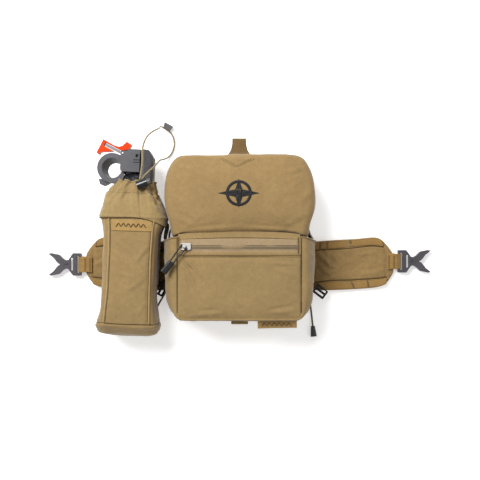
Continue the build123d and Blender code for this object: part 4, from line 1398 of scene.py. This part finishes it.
def pouch_collar():
    """The gathered collar: pleats that deepen towards the drawcord channel, and a rolled rim."""
    rings = pouch_rings(POUCH_COLLAR, 64, 300)
    u, v, z = rings[..., 0], rings[..., 1], rings[..., 2]
    along = np.linspace(0, math.tau, rings.shape[1], endpoint=False)[None, :] + 0 * u
    hem = ramp_between(v, 86, 64.6) ** 1.2
    droop = 0.0085 * np.maximum(u - 8, 0) ** 2 + 0.002 * np.maximum(-20 - u, 0) ** 2 - 1.2 * dip(u, 0, 16)
    rings[..., 1] = v - droop * hem * ramp_between(z, 30, 60)
    grow = ramp_between(v, 68, 106) ** 1.4
    pleat = np.sin(13 * along + 0.9 * np.sin(3 * along) + 0.25 * np.sin(v / 9))
    height = grow * 2.2 * signed_power(pleat, 0.8) + 0.5 * uneven(u + z * 0.6, v, 26, 87)
    height += 0.35 * grow * np.sin(31 * along + 1.4 * np.sin(2 * along))
    height -= 1.1 * dip(v, 96.8 + 1.2 * np.sin(2 * along), 1.2)
    height -= dip(u, 8.0 - (v - 94) * 0.16, 1.3) * (z > 60) * ramp_between(v, 98, 92)
    height -= 2.0 * dip(u, 31 + (v - 90) * 0.1, 2.2) * (z > 50) * ramp_between(v, 78, 86)
    height += 1.5 * ramp_between(v, 76, 66) + 0.8 * dip(v, 66.5, 1.6)
    rings = to_row(swollen(rings, wrinkled(height, u, v, COLLAR_FOLDS)))
    piece = grid_mesh("gathered_collar", rings, "collar_cloth", "wing_left",
                      ["pouch_collar"], thick=-1.2, held="gathered")
    tubes("collar_rim", [looped(rings[-1])], "collar_cloth", "wing_left", 1.3)
    return piece, rings[0]


on_sleeve = Skin(pouch_body())
on_foot = Skin(pouch_foot())
collar, collar_hem = pouch_collar()
on_collar = Skin(collar)


def pouch_lines(surface, line, lift=0.1):
    """A line of (u, v) points on the pouch laid on one of its surfaces."""
    return surface.down(to_row([(u, v, 0) for u, v in line])[:, :2], lift)


def pouch_tubes(name, lines, look, radius):
    """Thin round lines that ride with the pouch."""
    tubes(name, lines, look, "wing_left", radius)


RUN = np.linspace(-62, 63, 60)
# The second line is painted shadow: a dark tube inset beside each piping stands for the shade along it.
for name, inset, look, radius in (
    ("pouch_piping", 0.0, "piping", 0.9),
    ("pouch_piping_seam_shadow", 1.7, "seam", 0.4),
):
    edges = [[(edge_u(v, side) - side * inset, v) for v in RUN] for side in (-1, 1)]
    lines = [pouch_lines(on_sleeve, edge, 0.0) for edge in edges]
    pouch_tubes(name, lines, look, radius)
# Painted shadow: a dark tube along the foot's seam stands for the shade in it.
foot_seam = [(u, -63.8 - 0.6 * math.cos(u / 30)) for u in np.linspace(-37, 36, 60)]
lines = [pouch_lines(on_foot, foot_seam, 0.2), pouch_lines(on_sleeve, foot_seam)]
pouch_tubes("pouch_foot_seam_shadow", lines, "seam", 0.6)
# Painted shadow: a dark tube under the collar's hem stands for the shade of its overhanging lip.
hem_line = sorted([q for q in collar_hem if q[2] > 40], key=lambda q: q[0])
pouch_tubes("collar_seam_shadow", [[q + (0, -0.4, 0) for q in hem_line]], "seam", 0.6)
channel = pouch_lines(on_collar, [(u, 95.8) for u in np.linspace(-29, 26, 60)], 0.15)
pouch_tubes("collar_channel_stitch", stitches([channel]), "thread", 0.3)


# ---- labels, mounting panel and loops

LABEL_HEM = 1.6


def woven_patch(name, node, body, corners, rows, columns, place):
    """A woven label laid on a surface, with a folded hem and a plain diamond pattern in relief."""
    s, t = np.meshgrid(np.linspace(0, 1, columns), np.linspace(0, 1, rows), indexing="xy")
    a, b, c, d = (np.array(q, float) for q in corners)
    flat = (a * (1 - s[..., None]) + b * s[..., None]) * (1 - t[..., None])
    flat = flat + (d * (1 - s[..., None]) + c * s[..., None]) * t[..., None]
    x, y = flat[..., 0], flat[..., 1]
    length, width = np.linalg.norm(b - a), np.linalg.norm(d - a)
    gap = np.minimum(np.minimum(s, 1 - s) * length, np.minimum(t, 1 - t) * width)
    hem = 0.28 * (gap < LABEL_HEM) * ramp_between(gap, 0, 0.5)
    motif = np.abs(((s * length) % 5.0) - 2.5) + np.abs(t - 0.5) * width
    inside = (gap > LABEL_HEM + 0.8) & (motif < 2.6) & (motif > 1.5)
    z = place(x, y) + hem + 0.22 * inside
    grid_mesh(name, np.stack([x, y, z], 2), "label", body, [node], closed=False, thick=0.8, level=0,
              held="laid")


def zigzag(start, end, middle, swing):
    """The points of a plain zigzag."""
    return [(u, middle + (swing if k % 2 else -swing)) for k, u in enumerate(np.arange(start, end, 3.0))]


def pack_label_z(x, y):
    """The slanted, slightly wavy height of the pack's label."""
    return 78.4 + (y + 103.0) * 0.55 + 0.5 * np.sin(x / 9)


POUCH_LABEL = to_row([(-22.6, 48.6, 0), (26.6, 49.2, 0), (26.4, 63.2, 0), (-22.8, 62.8, 0)])[:, :2]
PACK_LABEL = [(22.2, -108.2), (69.9, -107.2), (69.6, -96.6), (21.8, -97.4)]
woven_patch("pouch_woven_label", "pouch_label", "wing_left", POUCH_LABEL, 34, 100,
            lambda x, y: on_sleeve.heights(x, y, 0.9))
motif = pouch_lines(on_sleeve, zigzag(-17, 22, 56.0, 2.4), 1.5)
pouch_tubes("pouch_label_motif", [motif], "seam", 0.55)
woven_patch("pack_woven_label", "pack_label", "pack", PACK_LABEL, 26, 100, pack_label_z)
motif = [(x, y, pack_label_z(x, y) + 1.0) for x, y in zigzag(27, 66, -102.6, 2.0)]
tubes("pack_label_motif", [motif], "seam", "pack", 0.5)


def mount_panel():
    """Hook-and-loop patch between the pouch and the wing."""
    x, y = np.meshgrid(np.linspace(-20, 20, 30), np.linspace(-20, 26, 34), indexing="xy")
    rows = to_row(np.stack([x, y, 11.4 + 0.12 * uneven(x, y, 5, 90)], 2))
    grid_mesh("hook_panel", rows, "mesh", "wing_left", ["pouch_mount_panel"], closed=False,
              thick=0.9, held="laid")


mount_panel()


def strap_loop(name, nodes_for, look, centre, half, low, high, y_in, y_out):
    """A strip of webbing sewn in at y_in and folded out to y_out."""
    turn = np.linspace(-math.pi / 2, math.pi / 2, 12)
    y = np.concatenate([[y_in], y_in + (y_out - y_in) * (0.55 + 0.42 * np.cos(turn)), [y_in]])[:, None]
    z = np.concatenate([[low], (low + high) / 2 + (high - low) / 2 * np.sin(turn), [high]])[:, None]
    x = np.linspace(centre - half, centre + half, 12)[None]
    rows = np.stack(np.broadcast_arrays(x, y, z), 2)
    grid_mesh(name, rows, look, "pack", nodes_for, closed=False, thick=0.9, held="folded")


strap_loop("harness_webbing_right", ["harness_loops"], "webbing", 52, 12.3, 1.6, 4.8, 103.4, 108.3)
strap_loop("harness_webbing_left", (), "webbing", -52, 12.3, 1.6, 4.8, 103.4, 108.3)
strap_loop("tether_webbing", ["bottom_loop"], "collar_cloth", 0, 10.8, 27.0, 33.2, -101.0, -107.2)


# ---- floor and light

FLOOR_HALF = 6.0
FLOOR_Z = -0.0012
WORLD_LIGHT = 0.36
LAMP_TARGET = (0, 0, 0.03)
LAMPS = (
    ("key", (-0.75, 0.8, 1.6), 1.0, 46.0),
    ("fill", (1.0, -0.5, 1.5), 1.2, 4.0),
    ("back", (0.2, 1.6, 1.0), 1.2, 3.0),
)
floor_mesh = bpy.data.meshes.new("floor")
corners = [(x * FLOOR_HALF, y * FLOOR_HALF, FLOOR_Z) for x, y in ((-1, -1), (1, -1), (1, 1), (-1, 1))]
floor_mesh.from_pydata(corners, [], [(0, 1, 2, 3)])
floor = bpy.data.objects.new("floor", floor_mesh)
scene.collection.objects.link(floor)
paper = Shader("studio_paper")
paper.set(Base_Color=(0.93, 0.93, 0.93, 1.0), Roughness=0.9, Specular_IOR_Level=0.1)
paper.set(Emission_Color=(1.0, 1.0, 1.0, 1.0), Emission_Strength=0.42)
floor_mesh.materials.append(paper.material)

world = bpy.data.worlds.new("studio")
scene.world = world
world.use_nodes = True
sky = world.node_tree.nodes["Background"].inputs
sky["Color"].default_value = (1.0, 1.0, 1.0, 1.0)
sky["Strength"].default_value = WORLD_LIGHT
for lamp_name, place, size, power in LAMPS:
    data = bpy.data.lights.new(lamp_name, "AREA")
    data.shape = "DISK"
    data.size = size
    data.energy = power
    lamp = bpy.data.objects.new(lamp_name, data)
    lamp.location = place
    lamp.rotation_euler = (Vector(LAMP_TARGET) - Vector(place)).to_track_quat("-Z", "Y").to_euler()
    scene.collection.objects.link(lamp)
scene.view_settings.view_transform = "Standard"
